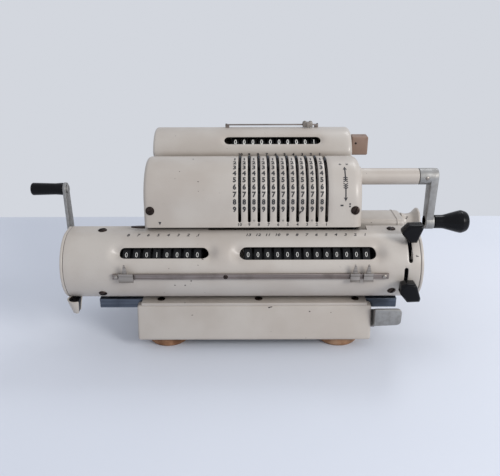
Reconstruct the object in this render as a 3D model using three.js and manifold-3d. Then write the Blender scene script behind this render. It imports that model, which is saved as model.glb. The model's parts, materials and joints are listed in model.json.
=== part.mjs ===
// A hand-cranked pin-wheel calculator: housing, setting drum, check dials, cranks and sliding carriage.
// X runs along the machine, Y from its front to its back, Z up from the surface that it stands on.
import * as THREE from "three";
import { mergeVertices } from "three/addons/utils/BufferGeometryUtils.js";
import Module from "manifold-3d";

const wasm = await Module();
wasm.setup();

// Driving dimensions, in millimetres. Axes that run along X are given by their y and z.
const GAP = 0.3; // between pieces that touch
const WALL = 1.6; // of the sheet covers
const PITCH = 7; // from one wheel to the next
const COLUMNS = 10;
const UNITS_X = 53.2; // the units column's slot
const HALF = 79.3; // half of the housing's length
const COVER_FOOT = 94; // lower edge of the drum cover and the check cover
const BASE_TOP = 36.3;
const BASE_BOTTOM = 8.8;
const BASE_X = [-87, 88.4];
const FRAME_FRONT = -14.8; // behind the sweep of the carriage's wheels
const FOOT_RADIUS = 16;

const DRUM = { y: -3.2, z: 107.5 };
const COVER_RADIUS = 29.8;
const COVER_FLARE = 0.185; // how far the drum cover's skirt leans forward for each millimetre down
const DISC_RADIUS = 24;
const TIP_RADIUS = 30.9; // how far the setting levers reach
const LEVER = 1.4; // thickness of a setting lever
const CORE_RADIUS = 12;
const DIGIT_ANGLE = 10.4; // degrees between two digits beside a slot
const ZERO_ANGLE = 86.6; // where a lever stands at 0, in degrees from the back
const UNITS_DIGIT = 1; // the units lever stands at 1, the others at 0

const CHECK = { y: 41.8, z: 130.8 };
const CHECK_RADIUS = 12.4;
const DIAL_OFFSET = -4; // from a slot to its check dial

const CRANK = { y: 0, z: 121.3 };
const SLEEVE_END = 126;
const ARM_X = [134.7, 140.7];
const CRANK_REACH = 37.3; // from the crank's axis to its grip's axis

const MODULE = 1; // tooth size
const CRANK_TEETH = 18;
const IDLER_TEETH = 16;

const CARRIAGE = { y: -34, z: 65.7 };
const CARRIAGE_RADIUS = 25.5;
const CARRIAGE_X = [-137, 120.6];
const CARRIAGE_BACK = -22;
const DIALS = { y: -36.3, z: 66.3 };
const DIALS_RADIUS = 20.6;
const RESULT = { first: -3.7, last: 80.4, count: 13, window: [-9.8, 87.5] };
const COUNTER = { first: -90.3, last: -39.8, count: 8, window: [-95.3, -31.9] };
const RAIL_X = [-116.6, 108.7];

const CLEARING = { y: -15, z: 66 };
const CLEARING_REACH = 51;
const CLEARING_ARM_X = [-140.4, -138];

const SHIFT_AXIS = { y: -40, z: 20 }; // of the lever that moves the carriage by a step

const rad = THREE.MathUtils.degToRad;

// Materials: each piece has one of its own, made from these finishes.
const finishes = {
  cream: { color: 0xb9b1a6, roughness: 0.5, metalness: 0.05 },
  steel: { color: 0x8b8c8f, roughness: 0.35, metalness: 0.9 },
  darkSteel: { color: 0x45494f, roughness: 0.45, metalness: 0.8 },
  black: { color: 0x141318, roughness: 0.3, metalness: 0 },
  brown: { color: 0x7c675b, roughness: 0.5, metalness: 0 },
  rubber: { color: 0x80634f, roughness: 0.85, metalness: 0 },
  brass: { color: 0xb08d4a, roughness: 0.35, metalness: 0.9 },
};

const machine = new THREE.Group();

/** Turns a closed geometry into a solid that can be joined and cut. */
function solid(geometry) {
  const bare = geometry.clone();
  bare.deleteAttribute("normal");
  bare.deleteAttribute("uv");
  const merged = mergeVertices(bare, 1e-4);
  const corners = merged.index.array;
  const triangles = [];
  for (let i = 0; i < corners.length; i += 3) {
    const [a, b, c] = [corners[i], corners[i + 1], corners[i + 2]];
    if (a !== b && b !== c && c !== a) triangles.push(a, b, c);
  }
  const vertProperties = new Float32Array(merged.attributes.position.array);
  const triVerts = new Uint32Array(triangles);
  return new wasm.Manifold(new wasm.Mesh({ numProp: 3, vertProperties, triVerts }));
}

/** Adds a named piece to a group, its solid placed at position and turned about X. */
function piece(name, shape, finish, { group = machine, at = [0, 0, 0], turn = 0 } = {}) {
  const { vertProperties, triVerts } = shape.getMesh();
  const geometry = new THREE.BufferGeometry();
  geometry.setAttribute("position", new THREE.BufferAttribute(new Float32Array(vertProperties), 3));
  geometry.setIndex(new THREE.BufferAttribute(new Uint32Array(triVerts), 1));
  geometry.computeVertexNormals();
  const mesh = new THREE.Mesh(geometry, new THREE.MeshStandardMaterial(finishes[finish]));
  mesh.name = name;
  mesh.position.set(...at);
  mesh.rotation.x = turn;
  group.add(mesh);
  return mesh;
}

/** A prism along X between x0 and x1, of an outline drawn in y and z. Its ends are rounded by round. */
function along(outline, [x0, x1], round = 0, curveSegments = 16) {
  const geometry = new THREE.ExtrudeGeometry(outline, {
    depth: x1 - x0 - 2 * round,
    curveSegments,
    bevelEnabled: round > 0,
    bevelThickness: round,
    bevelSize: round,
    bevelOffset: -round,
    bevelSegments: 2,
  });
  geometry.translate(0, 0, x0 + round);
  const toX = new THREE.Matrix4().makeBasis(
    new THREE.Vector3(0, 1, 0),
    new THREE.Vector3(0, 0, 1),
    new THREE.Vector3(1, 0, 0),
  );
  return solid(geometry.applyMatrix4(toX));
}

/** A box between two corners' coordinates. */
function block([x0, x1], [y0, y1], [z0, z1]) {
  const geometry = new THREE.BoxGeometry(x1 - x0, y1 - y0, z1 - z0);
  return solid(geometry.translate((x0 + x1) / 2, (y0 + y1) / 2, (z0 + z1) / 2));
}

/** A cylinder along X about an axis given by its y and z. */
function rod([x0, x1], { y, z }, radius, segments = 20) {
  const geometry = new THREE.CylinderGeometry(radius, radius, x1 - x0, segments);
  return solid(geometry.rotateZ(-Math.PI / 2).translate((x0 + x1) / 2, y, z));
}

/** A body of revolution about X: profile holds [x, radius] pairs and closes on itself. */
function turned(profile, { y, z }, segments = 24) {
  const points = [...profile, profile[0]].map(([x, radius]) => new THREE.Vector2(radius, x));
  const geometry = new THREE.LatheGeometry(points, segments);
  return solid(geometry.rotateZ(-Math.PI / 2).translate(0, y, z));
}

/** An outline through [y, z] points. */
function outline(points) {
  return new THREE.Shape(points.map(([y, z]) => new THREE.Vector2(y, z)));
}

/** A ring, or part of one, between two radii about an axis along X. */
function sector(range, { y, z }, inner, outer, from, to) {
  const shape = new THREE.Shape();
  shape.absarc(y, z, outer, rad(from), rad(to), false);
  shape.absarc(y, z, inner, rad(to), rad(from), true);
  return along(shape, range, 0, 18);
}

/** A bar with two round ends that stand at two axes along X. */
function link(range, a, radiusA, b, radiusB) {
  const angle = Math.atan2(b.z - a.z, b.y - a.y);
  const shape = new THREE.Shape();
  shape.absarc(a.y, a.z, radiusA, angle + Math.PI / 2, angle - Math.PI / 2, false);
  shape.absarc(b.y, b.z, radiusB, angle - Math.PI / 2, angle + Math.PI / 2, false);
  return along(shape, range, 0, 5);
}

/** A gear between two x, with a tooth centred at phase about its axis. Teeth are slim, for backlash. */
function gear(range, axis, teeth, phase) {
  const radius = (MODULE * teeth) / 2;
  const step = (2 * Math.PI) / teeth;
  const points = [];
  for (let tooth = 0; tooth < teeth; tooth += 1) {
    const middle = phase + tooth * step;
    const corners = [[-0.27, -1.1], [-0.1, 0.75], [0.1, 0.75], [0.27, -1.1]];
    for (const [side, height] of corners) {
      const angle = middle + side * step;
      const reach = radius + height * MODULE;
      points.push([axis.y + reach * Math.cos(angle), axis.z + reach * Math.sin(angle)]);
    }
  }
  return along(outline(points), range);
}

/** The phase at which a gear meshes with the idler, whose first tooth stands at angle 0. */
function meshPhase(idler, other, teeth) {
  const towards = Math.atan2(other.z - idler.z, other.y - idler.y);
  const step = (2 * Math.PI) / IDLER_TEETH;
  const offset = towards - Math.round(towards / step) * step;
  return towards + Math.PI + (offset * IDLER_TEETH) / teeth + Math.PI / teeth;
}

/** A window with round ends, cut square to the wall at angle degrees about an axis along X. */
function windowCut([x0, x1], axis, radius, height, angle) {
  const shape = new THREE.Shape();
  const half = height / 2;
  shape.absarc(x1 - half, 0, half, -Math.PI / 2, Math.PI / 2, false);
  shape.absarc(x0 + half, 0, half, Math.PI / 2, (3 * Math.PI) / 2, false);
  const geometry = new THREE.ExtrudeGeometry(shape, { depth: 8, bevelEnabled: false, curveSegments: 8 });
  const outward = new THREE.Vector3(0, Math.cos(rad(angle)), Math.sin(rad(angle)));
  const up = new THREE.Vector3().crossVectors(outward, new THREE.Vector3(1, 0, 0));
  const basis = new THREE.Matrix4().makeBasis(new THREE.Vector3(1, 0, 0), up, outward);
  basis.setPosition(0, axis.y + outward.y * (radius - 5), axis.z + outward.z * (radius - 5));
  return solid(geometry.applyMatrix4(basis));
}

/** The x of each setting column, from the units leftwards. */
const columnX = Array.from({ length: COLUMNS }, (_, column) => UNITS_X - column * PITCH);

// ---- Base ----

function addBase() {
  const section = outline([[-54, BASE_BOTTOM], [64, BASE_BOTTOM], [62, BASE_TOP], [-48, BASE_TOP]]);
  const [left, right] = BASE_X;
  const inside = [left + 2.5, right - 2.5];
  const shell = along(section, BASE_X, 2.5)
    .subtract(block(inside, [-49, 59], [0, 27.3]))
    .subtract(block(inside, [-29, 58], [20, BASE_TOP - 2.5]))
    .subtract(block([left - 1, right + 1], [-41, -32], [29.7, 50]))
    .subtract(rod([right - 8, right + 8], SHIFT_AXIS, 3));
  piece("base_cover", shell, "cream");
  const plate = block([inside[0] + GAP, inside[1] - GAP], [-49 + GAP, 59 - GAP], [9, 11]);
  piece("base_plate", plate, "darkSteel");
  const [side, front, back] = [66, -32.5, 42];
  const feet = [["front_left", -side, front], ["front_right", side, front], ["back_left", -side, back],
    ["back_right", side, back]];
  for (const [where, x, y] of feet) {
    const points = [[0, 0], [FOOT_RADIUS - 2, 0], [FOOT_RADIUS, 1.5], [FOOT_RADIUS - 1, 8.7], [0, 8.7]];
    const profile = points.map(([radius, height]) => new THREE.Vector2(radius, height));
    const foot = new THREE.LatheGeometry(profile, 24).rotateX(Math.PI / 2);
    piece(`foot_${where}`, solid(foot), "rubber", { at: [x, y, 0] });
  }
  const rail = block(RAIL_X, [-40, -33], [30, 37.6]);
  piece("carriage_rail", rail, "darkSteel");
}

// ---- Housing covers and frames ----

/** Joins what make returns for each setting column's x. */
function perColumn(make) {
  return columnX.map(make).reduce((all, one) => all.add(one));
}

/** The ten slots that the levers' tips stand out of, open at the drum cover's back edge. */
function slots() {
  const foot = [DRUM.y - 60, DRUM.z - 60 * Math.tan(rad(17.2))];
  const back = [[DRUM.y, DRUM.z], [DRUM.y + 50, DRUM.z + 18], [DRUM.y, DRUM.z + 70]];
  const side = outline([...back, [-60, 150], foot]);
  return perColumn((x) => along(side, [x - 1.1, x + 1.1]));
}

/** The notches in the check cover's front edge, for the levers' tips to pass under it. */
function notches() {
  const side = outline([[20, 116], [28.6, 116], [28.6, 129.4], [25.6, 131.6], [20, 131.6]]);
  return perColumn((x) => along(side, [x - 1.1, x + 1.1]));
}

/** The drum cover's side view, inset from its outside by inset. */
function drumCoverOutline(inset, foot) {
  const shape = new THREE.Shape();
  const radius = COVER_RADIUS - inset;
  const end = rad(22);
  const back = inset > 0 ? 30 : DRUM.y + COVER_RADIUS * Math.cos(end);
  shape.moveTo(DRUM.y - radius - COVER_FLARE * (DRUM.z - foot), foot);
  shape.lineTo(DRUM.y - radius, DRUM.z);
  shape.absarc(DRUM.y, DRUM.z, radius, Math.PI, end, true);
  if (inset > 0) shape.lineTo(back, DRUM.z + radius * Math.sin(end));
  shape.lineTo(back, foot);
  return shape;
}

/** The check cover's side view, inset from its outside by inset. */
function checkCoverOutline(inset, foot) {
  const shape = new THREE.Shape();
  const front = inset > 0 ? 20 : 25.4;
  shape.moveTo(front, foot);
  shape.lineTo(front, 119.6 - inset);
  shape.lineTo(25.8 + inset, 119.6 - inset);
  shape.lineTo(26.5 + inset, 133);
  shape.bezierCurveTo(28 + inset, 139 - inset, 36 + inset, 148.4 - inset, 49, 148.4 - inset);
  shape.quadraticCurveTo(62 - inset, 148.4 - inset, 62 - inset, 136);
  shape.lineTo(62 - inset, foot);
  return shape;
}

const CHECK_WINDOW = { angle: 136, radius: 14.6 };

function addCovers() {
  const whole = [-HALF, HALF];
  const inside = [-HALF + WALL, HALF - WALL];
  const below = block([-100, 100], [-60, 100], [40, COVER_FOOT]);
  const drumCover = along(drumCoverOutline(0, COVER_FOOT - 8), whole, 3, 9)
    .subtract(below)
    .subtract(along(drumCoverOutline(WALL, 60), inside, 0, 9))
    .subtract(slots())
    .subtract(rod([60, 90], CRANK, 4.6));
  piece("drum_cover", drumCover, "cream");

  const view = [columnX[COLUMNS - 1] - 12.5, columnX[0] + 0.5];
  const checkCover = along(checkCoverOutline(0, COVER_FOOT - 8), whole, 2.5, 8)
    .subtract(below)
    .subtract(along(checkCoverOutline(WALL, 60), inside, 0, 8))
    .subtract(notches())
    .subtract(windowCut(view, CHECK, CHECK_WINDOW.radius, 6.4, CHECK_WINDOW.angle))
    .subtract(rod([-90, 90], CHECK, 3.1));
  piece("check_cover", checkCover, "cream");

  const rearPlan = new THREE.Shape([
    [-HALF, 25.4], [-HALF, 62], [HALF, 62], [HALF, 25.4],
    [HALF - WALL, 25.4], [HALF - WALL, 62 - WALL], [-HALF + WALL, 62 - WALL], [-HALF + WALL, 25.4],
  ].map(([x, y]) => new THREE.Vector2(x, y)));
  const height = COVER_FOOT - BASE_TOP - 2 * GAP;
  const rear = new THREE.ExtrudeGeometry(rearPlan, { depth: height, bevelEnabled: false });
  piece("rear_cover", solid(rear), "cream", { at: [0, 0, BASE_TOP + GAP] });
}

function addFrames() {
  const plate = outline([
    [FRAME_FRONT, BASE_TOP + GAP], [57, BASE_TOP + GAP], [57, 112], [22, 112], [20, 120], [9, 131.5],
    [-4, 134], [-17, 130], [-26, 119], [-28, 108], [-26, 98], [FRAME_FRONT, 90],
  ]);
  for (const [name, x] of [["left_frame", -77.4], ["right_frame", 75.6]]) {
    const range = [x, x + 1.8];
    const cut = [x - 1, x + 3];
    let frame = along(plate, range).subtract(rod(cut, DRUM, 3.1));
    if (x > 0) frame = frame.subtract(rod(cut, CRANK, 4.5)).subtract(rod(cut, IDLER, 3.4));
    piece(name, frame, "darkSteel");
  }
}

// ---- Setting drum, levers and check dials ----

const IDLER = (() => {
  const distance = (MODULE * (CRANK_TEETH + IDLER_TEETH)) / 2 + 0.1;
  const [dy, dz] = [CRANK.y - DRUM.y, CRANK.z - DRUM.z];
  const apart = Math.hypot(dy, dz);
  const rise = Math.sqrt(distance ** 2 - (apart / 2) ** 2) / apart;
  return { y: DRUM.y + dy / 2 + dz * rise, z: DRUM.z + dz / 2 - dy * rise };
})();

function addDrum() {
  const groove = LEVER / 2 + GAP;
  const grooves = columnX.flatMap((x) => [x + groove, x - groove]);
  const edges = [columnX[0] + 5, ...grooves, columnX[COLUMNS - 1] - 7];
  let drum = rod([edges[edges.length - 1], edges[0]], DRUM, CORE_RADIUS, 16)
    .add(rod([-76.8, 76.8], DRUM, 2.6, 12))
    .add(gear([62, 65.8], DRUM, CRANK_TEETH, meshPhase(IDLER, DRUM, CRANK_TEETH)));
  for (let disc = 0; disc < edges.length; disc += 2) {
    drum = drum.add(rod([edges[disc + 1], edges[disc]], DRUM, DISC_RADIUS, 16));
  }
  piece("drum", drum, "steel");

  const ring = new THREE.Shape();
  const arm = rad(7);
  ring.absarc(0, 0, DISC_RADIUS - 2, arm, 2 * Math.PI - arm, false);
  ring.lineTo(TIP_RADIUS - 1, -2);
  ring.absarc(TIP_RADIUS - 2, 0, 2, -Math.PI / 2, Math.PI / 2, false);
  const bore = new THREE.Path();
  bore.absarc(0, 0, CORE_RADIUS + GAP + 0.2, 0, 2 * Math.PI, true);
  ring.holes.push(bore);
  const lever = along(ring, [-LEVER / 2, LEVER / 2], 0, 7);
  columnX.forEach((x, column) => {
    const digit = column === 0 ? UNITS_DIGIT : 0;
    const turn = rad(ZERO_ANGLE + digit * DIGIT_ANGLE);
    piece(`setting_lever_${column + 1}`, lever, "steel", { at: [x, DRUM.y, DRUM.z], turn });
  });
}

function addCheckDials() {
  const width = PITCH - 1.4;
  const at0 = { y: 0, z: 0 };
  const dial = rod([-width / 2, width / 2], at0, CHECK_RADIUS).subtract(rod([-9, 9], at0, 3, 12));
  columnX.forEach((x, column) => {
    piece(`check_dial_${column + 1}`, dial, "black", { at: [x + DIAL_OFFSET, CHECK.y, CHECK.z] });
  });
  piece("check_dial_shaft", rod([-HALF - 1.4, HALF], CHECK, 2.5), "darkSteel");

  const knobSide = outline([[36, 128], [47.5, 128], [47.5, 144], [46, 145.5], [38, 145.5], [36, 143.5]]);
  const knob = along(knobSide, [HALF + GAP + 0.6, 93.4], 1);
  piece("clearing_knob", knob, "brown");

  const [left, right] = [columnX[COLUMNS - 1] - 12.5, columnX[0] + 0.5];
  piece("check_marker_rail", block([left, right], [47.6, 49.6], [148.8, 151]), "steel");
  const clip = block([41, 49], [46.4, 50.8], [149, 152.6])
    .subtract(block([40, 50], [47.3, 49.9], [148, 151.3]));
  piece("check_marker", clip, "steel");
}

// ---- Main crank and its gearing ----

function addCrank() {
  const sleeve = rod([HALF + GAP, SLEEVE_END], CRANK, 6.25, 24).subtract(rod([70, 130], CRANK, 4.4));
  piece("crank_sleeve", sleeve, "cream");
  const phase = meshPhase(IDLER, CRANK, CRANK_TEETH);
  const shaft = rod([66.2, SLEEVE_END], CRANK, 4).add(gear([67.2, 71], CRANK, CRANK_TEETH, phase));
  piece("crank_shaft", shaft, "steel");
  const idler = gear([61.8, 71.2], IDLER, IDLER_TEETH, 0).add(rod([61.8, 77.3], IDLER, 3));
  piece("idler_gear", idler, "brass");

  const gripAxis = { y: CRANK.y, z: CRANK.z - CRANK_REACH };
  const hub = 6.2;
  const arm = rod([SLEEVE_END + GAP, ARM_X[1] - 1], CRANK, hub)
    .add(link(ARM_X, CRANK, hub, gripAxis, 4.4))
    .add(rod([ARM_X[0] + 1, 167], gripAxis, 2, 12));
  piece("crank_arm", arm, "steel");

  const profile = [[141, 2.4], [141, 5.4], [150, 6.3], [161, 9.1], [166, 8.6], [169.5, 4.8], [169.5, 2.4]];
  piece("crank_grip", turned(profile, gripAxis, 16), "black");

  const rest = turned([[116.6, 0], [116.6, 8], [123, 9.5], [129.7, 11], [129.7, 9], [125, 0]], gripAxis);
  piece("crank_rest", rest, "cream");
  const caseSide = outline([[FRAME_FRONT, 52], [22, 52], [22, 91], [FRAME_FRONT, 91]]);
  const gearCase = along(caseSide, [HALF - WALL - GAP, 116.3], 3)
    .subtract(block([70, 114.5], [FRAME_FRONT + 2, 20], [54, 89]))
    .subtract(block([70, HALF], [-60, 60], [40, 100]));
  piece("gear_case", gearCase, "cream");
}

// ---- Carriage ----

/** The carriage's side view: a filled one, closed at the back at back. */
function carriageOutline(back) {
  const shape = new THREE.Shape();
  shape.moveTo(back, CARRIAGE.z + CARRIAGE_RADIUS);
  shape.lineTo(CARRIAGE.y, CARRIAGE.z + CARRIAGE_RADIUS);
  shape.absarc(CARRIAGE.y, CARRIAGE.z, CARRIAGE_RADIUS, Math.PI / 2, (3 * Math.PI) / 2, false);
  shape.lineTo(-28, CARRIAGE.z - CARRIAGE_RADIUS);
  return shape;
}

/** The carriage cover's side view: a bent sheet, open at the back. */
function carriageSheet() {
  const shape = new THREE.Shape();
  const inner = CARRIAGE_RADIUS - WALL;
  shape.moveTo(CARRIAGE_BACK, CARRIAGE.z + CARRIAGE_RADIUS);
  shape.lineTo(CARRIAGE.y, CARRIAGE.z + CARRIAGE_RADIUS);
  shape.absarc(CARRIAGE.y, CARRIAGE.z, CARRIAGE_RADIUS, Math.PI / 2, (3 * Math.PI) / 2, false);
  shape.lineTo(-28, CARRIAGE.z - CARRIAGE_RADIUS);
  shape.lineTo(-28, CARRIAGE.z - inner);
  shape.absarc(CARRIAGE.y, CARRIAGE.z, inner, (3 * Math.PI) / 2, Math.PI / 2, true);
  shape.lineTo(CARRIAGE_BACK, CARRIAGE.z + inner);
  return shape;
}

// Each key: its stem's and knob's x, their angles about the carriage's axis, and the ends of its slot.
const KEYS = {
  upper_key: { stem: [110.2, 112.2], knob: [106.3, 119.6], bend: 131, top: 117, slot: [104, 155] },
  lower_key: { stem: [107.2, 109.2], knob: [102.7, 115.7], bend: 188, top: 193, slot: [166, 194] },
};
function addCarriage() {
  const [left, right] = CARRIAGE_X;
  const cap = 2;
  let cover = along(carriageSheet(), [left + cap + GAP, right - cap - GAP], 0, 13)
    .subtract(windowCut(RESULT.window, CARRIAGE, CARRIAGE_RADIUS, 7.8, 140))
    .subtract(windowCut(COUNTER.window, CARRIAGE, CARRIAGE_RADIUS, 7.8, 140))
    .subtract(block([-33, 83.5], [-30.8, 0], [80, 100]))
    .subtract(block([113, 130], [-30.8, 0], [80, 100]));
  for (const { stem, slot } of Object.values(KEYS)) {
    const range = [stem[0] - 0.5, stem[1] + 0.5];
    cover = cover.subtract(sector(range, CARRIAGE, 22, 28, slot[0], slot[1]));
  }
  piece("carriage_cover", cover, "cream");

  const lug = rod([left, left + cap], CLEARING, 8).add(block([left, left + cap], [-30, -15], [58, 74]));
  const leftCap = along(carriageOutline(CARRIAGE_BACK), [left, left + cap], 0, 13)
    .add(lug)
    .subtract(rod([left - 1, left + 3], CLEARING, 2.9));
  piece("carriage_left_cap", leftCap, "cream");
  const rightCap = along(carriageOutline(-30.8), [right - cap, right], 0, 13)
    .subtract(block([right - 5, right + 5], [-30.8, 0], [0, 100]))
    .subtract(rod([right - 5, right + 5], DIALS, 3));
  piece("carriage_right_cap", rightCap, "cream");

  const hook = sector([-137, -131], { y: -38, z: 38 }, 10.4, 12, 180, 262);
  const bed = block([-137, 116], [-50, -24], [38, 39.9]).add(hook);
  piece("carriage_bed", bed, "cream");

  for (const [name, { stem, knob, bend, top }] of Object.entries(KEYS)) {
    const around = (angle, radius) => ({
      y: CARRIAGE.y + radius * Math.cos(rad(angle)),
      z: CARRIAGE.z + radius * Math.sin(rad(angle)),
    });
    const elbow = around(bend, 29);
    const shank = link(stem, DIALS, 5, elbow, 1.8).subtract(rod([90, 120], DIALS, 3, 12));
    const neck = link(stem, elbow, 1.8, around(top, 31), 1.8);
    piece(name, shank.add(neck).add(rod(knob, around(top, 33.5), 7, 8)), "black");
  }
}

/** A stack of numbered wheels joined by their hub, with a bore for the shaft. */
function wheels({ first, last, count }) {
  const step = (last - first) / (count - 1);
  const half = 2.8;
  let stack = rod([first - half, last + half], DIALS, 6, 12);
  for (let wheel = 0; wheel < count; wheel += 1) {
    const x = first + wheel * step;
    stack = stack.add(rod([x - half, x + half], DIALS, DIALS_RADIUS));
  }
  return stack.subtract(rod([first - 9, last + 9], DIALS, 3, 12));
}

function addDials() {
  piece("result_dials", wheels(RESULT), "black");
  piece("counter_dials", wheels(COUNTER), "black");
  const shaft = rod([-134, 122.6], DIALS, 2.5, 16).add(rod([CARRIAGE_X[1] + GAP, 122.6], DIALS, 6));
  piece("dial_shaft", shaft, "steel");
}

/** A clip that rides on the carriage's marker rail, with a fin on top. */
function marker([x0, x1], finX) {
  return block([x0, x1], [-63.2, -60], [63.7, 70.3])
    .subtract(block([x0 - 1, x1 + 1], [-61.9, -59], [64.6, 69.4]))
    .add(block([finX - 0.6, finX + 0.6], [-63.2, -61], [70, 77]));
}

function addMarkers() {
  piece("marker_rail", block([-99.5, 95.5], [-61.6, -60], [64.9, 69.1]), "steel");
  piece("counter_marker", marker([-96, -83.5], -90.3), "steel");
  piece("result_marker_left", marker([66.9, 75.9], 71.4), "steel");
  piece("result_marker_right", marker([76.3, 85.3], 80.8), "steel");
}

function addClearingCrank() {
  const gripAxis = { y: CLEARING.y, z: CLEARING.z + CLEARING_REACH };
  const arm = link(CLEARING_ARM_X, CLEARING, 6, gripAxis, 4.8)
    .add(rod([CLEARING_ARM_X[0] + 1, -130], CLEARING, 2.5, 16))
    .add(rod([-163, CLEARING_ARM_X[1] - 1], gripAxis, 1.6, 12));
  piece("clearing_arm", arm, "steel");
  const end = CLEARING_ARM_X[0] - GAP;
  const profile = [[-164.4, 2], [-164.4, 3.8], [-163, 4.6], [end - 1.5, 4.6], [end, 4.1], [end, 2]];
  piece("clearing_grip", turned(profile, gripAxis, 16), "black");
}

function addShiftLever() {
  const pivot = rod([60, 92.5], SHIFT_AXIS, 2.5, 16);
  const arm = link([90, 92.5], SHIFT_AXIS, 3.5, { y: -49, z: 29 }, 2.5);
  const pad = block([90, 110], [-51, -49], [22.5, 36]);
  piece("shift_lever", pivot.add(arm).add(pad), "steel");
}

addBase();
addCovers();
addFrames();
addDrum();
addCheckDials();
addCrank();
addCarriage();
addDials();
addMarkers();
addClearingCrank();
addShiftLever();

// The origin is put at the middle of the whole machine, on the surface that its feet stand on.
const box = new THREE.Box3().setFromObject(machine);
machine.position.x = -(box.min.x + box.max.x) / 2;
machine.position.y = -(box.min.y + box.max.y) / 2;

export default machine;
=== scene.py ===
# A hand-cranked pin-wheel calculator, in enamelled sheet metal, steel and phenolic plastic.
# The making functions work in millimetres: x from the middle of the housing, y from the drum's axis
# backwards, z up from the table. piece() turns them into metres in the frame's own place.
import json
import math
import random

import bmesh
import bpy
from mathutils import Matrix, Vector
from mathutils.geometry import delaunay_2d_cdt


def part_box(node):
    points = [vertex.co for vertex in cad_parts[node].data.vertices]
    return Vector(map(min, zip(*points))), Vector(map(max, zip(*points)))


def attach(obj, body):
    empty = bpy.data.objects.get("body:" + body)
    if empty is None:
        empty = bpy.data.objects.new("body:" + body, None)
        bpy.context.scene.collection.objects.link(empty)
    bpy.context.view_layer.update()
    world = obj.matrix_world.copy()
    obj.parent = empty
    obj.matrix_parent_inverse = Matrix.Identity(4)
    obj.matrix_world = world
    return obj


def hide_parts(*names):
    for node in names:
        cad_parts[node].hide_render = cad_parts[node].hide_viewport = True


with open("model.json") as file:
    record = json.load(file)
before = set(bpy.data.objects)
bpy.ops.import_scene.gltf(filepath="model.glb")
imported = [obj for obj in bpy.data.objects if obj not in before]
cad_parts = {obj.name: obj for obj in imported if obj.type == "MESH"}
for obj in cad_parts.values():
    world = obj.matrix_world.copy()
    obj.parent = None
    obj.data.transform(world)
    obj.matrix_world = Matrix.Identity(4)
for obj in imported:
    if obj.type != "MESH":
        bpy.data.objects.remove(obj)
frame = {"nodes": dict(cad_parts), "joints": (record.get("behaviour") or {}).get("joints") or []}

random.seed(11)
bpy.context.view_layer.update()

MM = 0.001
JOINTS = {joint["name"]: joint for joint in frame["joints"]}
COVER_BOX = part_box("drum_cover")
ORIGIN = Vector(((COVER_BOX[0].x + COVER_BOX[1].x) / 2, JOINTS["drum_turn"]["pos_m"][1], 0))


def span(node):
    """The lowest and highest corners of a CAD node, in millimetres."""
    low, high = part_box(node)
    return (low - ORIGIN) / MM, (high - ORIGIN) / MM


def pivot(joint):
    """A joint's place, in millimetres."""
    return (Vector(JOINTS[joint]["pos_m"]) - ORIGIN) / MM


DRUM, CHECK, CRANK = pivot("drum_turn"), pivot("dial_1_turn"), pivot("crank_turn")
DIALS, CLEARING, SHIFT = pivot("result_dials_turn"), pivot("clearing_turn"), pivot("shift_lever_press")
COLUMNS = range(1, 11)
SLOT_X = {column: pivot(f"lever_{column}_set").x for column in COLUMNS}
DIAL_X = {column: pivot(f"dial_{column}_turn").x for column in COLUMNS}

COVER_RADIUS = 29.8
COVER_FLARE = 0.185  # how far the drum cover's skirt leans forward for each millimetre down
DIGIT_ANGLE = 10.4  # between two figures beside a slot
ZERO_ANGLE = 86.6  # where a lever stands at 0, from the back
CARRIAGE_RADIUS = 25.5
CARRIAGE_AXIS = (span("carriage_cover")[0].y + CARRIAGE_RADIUS, span("carriage_cover")[1].z - CARRIAGE_RADIUS)
CHECK_RADIUS = 12.4
WHEEL_RADIUS = 20.6
SHEET = 1.2  # thickness of the enamelled covers
HOUSING_RIGHT = span("drum_cover")[1].x + 0.3
CREASE_ANGLE = 98.5  # where the carriage's round front meets its flat top
TOP_BACK = -22.0  # back edge of the carriage's flat top
BED_BACK = -28.0  # back edge of the carriage's underside
CUT_BACK = -29.8  # the flat top stops here in front of the drum cover's foot


# ---- Finishes ----

class Wire:
    """A socket in a finish's nodes. Arithmetic on it adds Math nodes."""

    def __init__(self, finish, socket):
        self.finish = finish
        self.socket = socket

    def maths(self, operation, first, second):
        return self.finish.node("ShaderNodeMath", {"operation": operation}, {0: first, 1: second})

    def __add__(self, other):
        return self.maths("ADD", self, other)

    def __sub__(self, other):
        return self.maths("SUBTRACT", self, other)

    def __rsub__(self, other):
        return self.maths("SUBTRACT", other, self)

    def __mul__(self, other):
        return self.maths("MULTIPLY", self, other)

    __radd__ = __add__
    __rmul__ = __mul__


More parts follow.
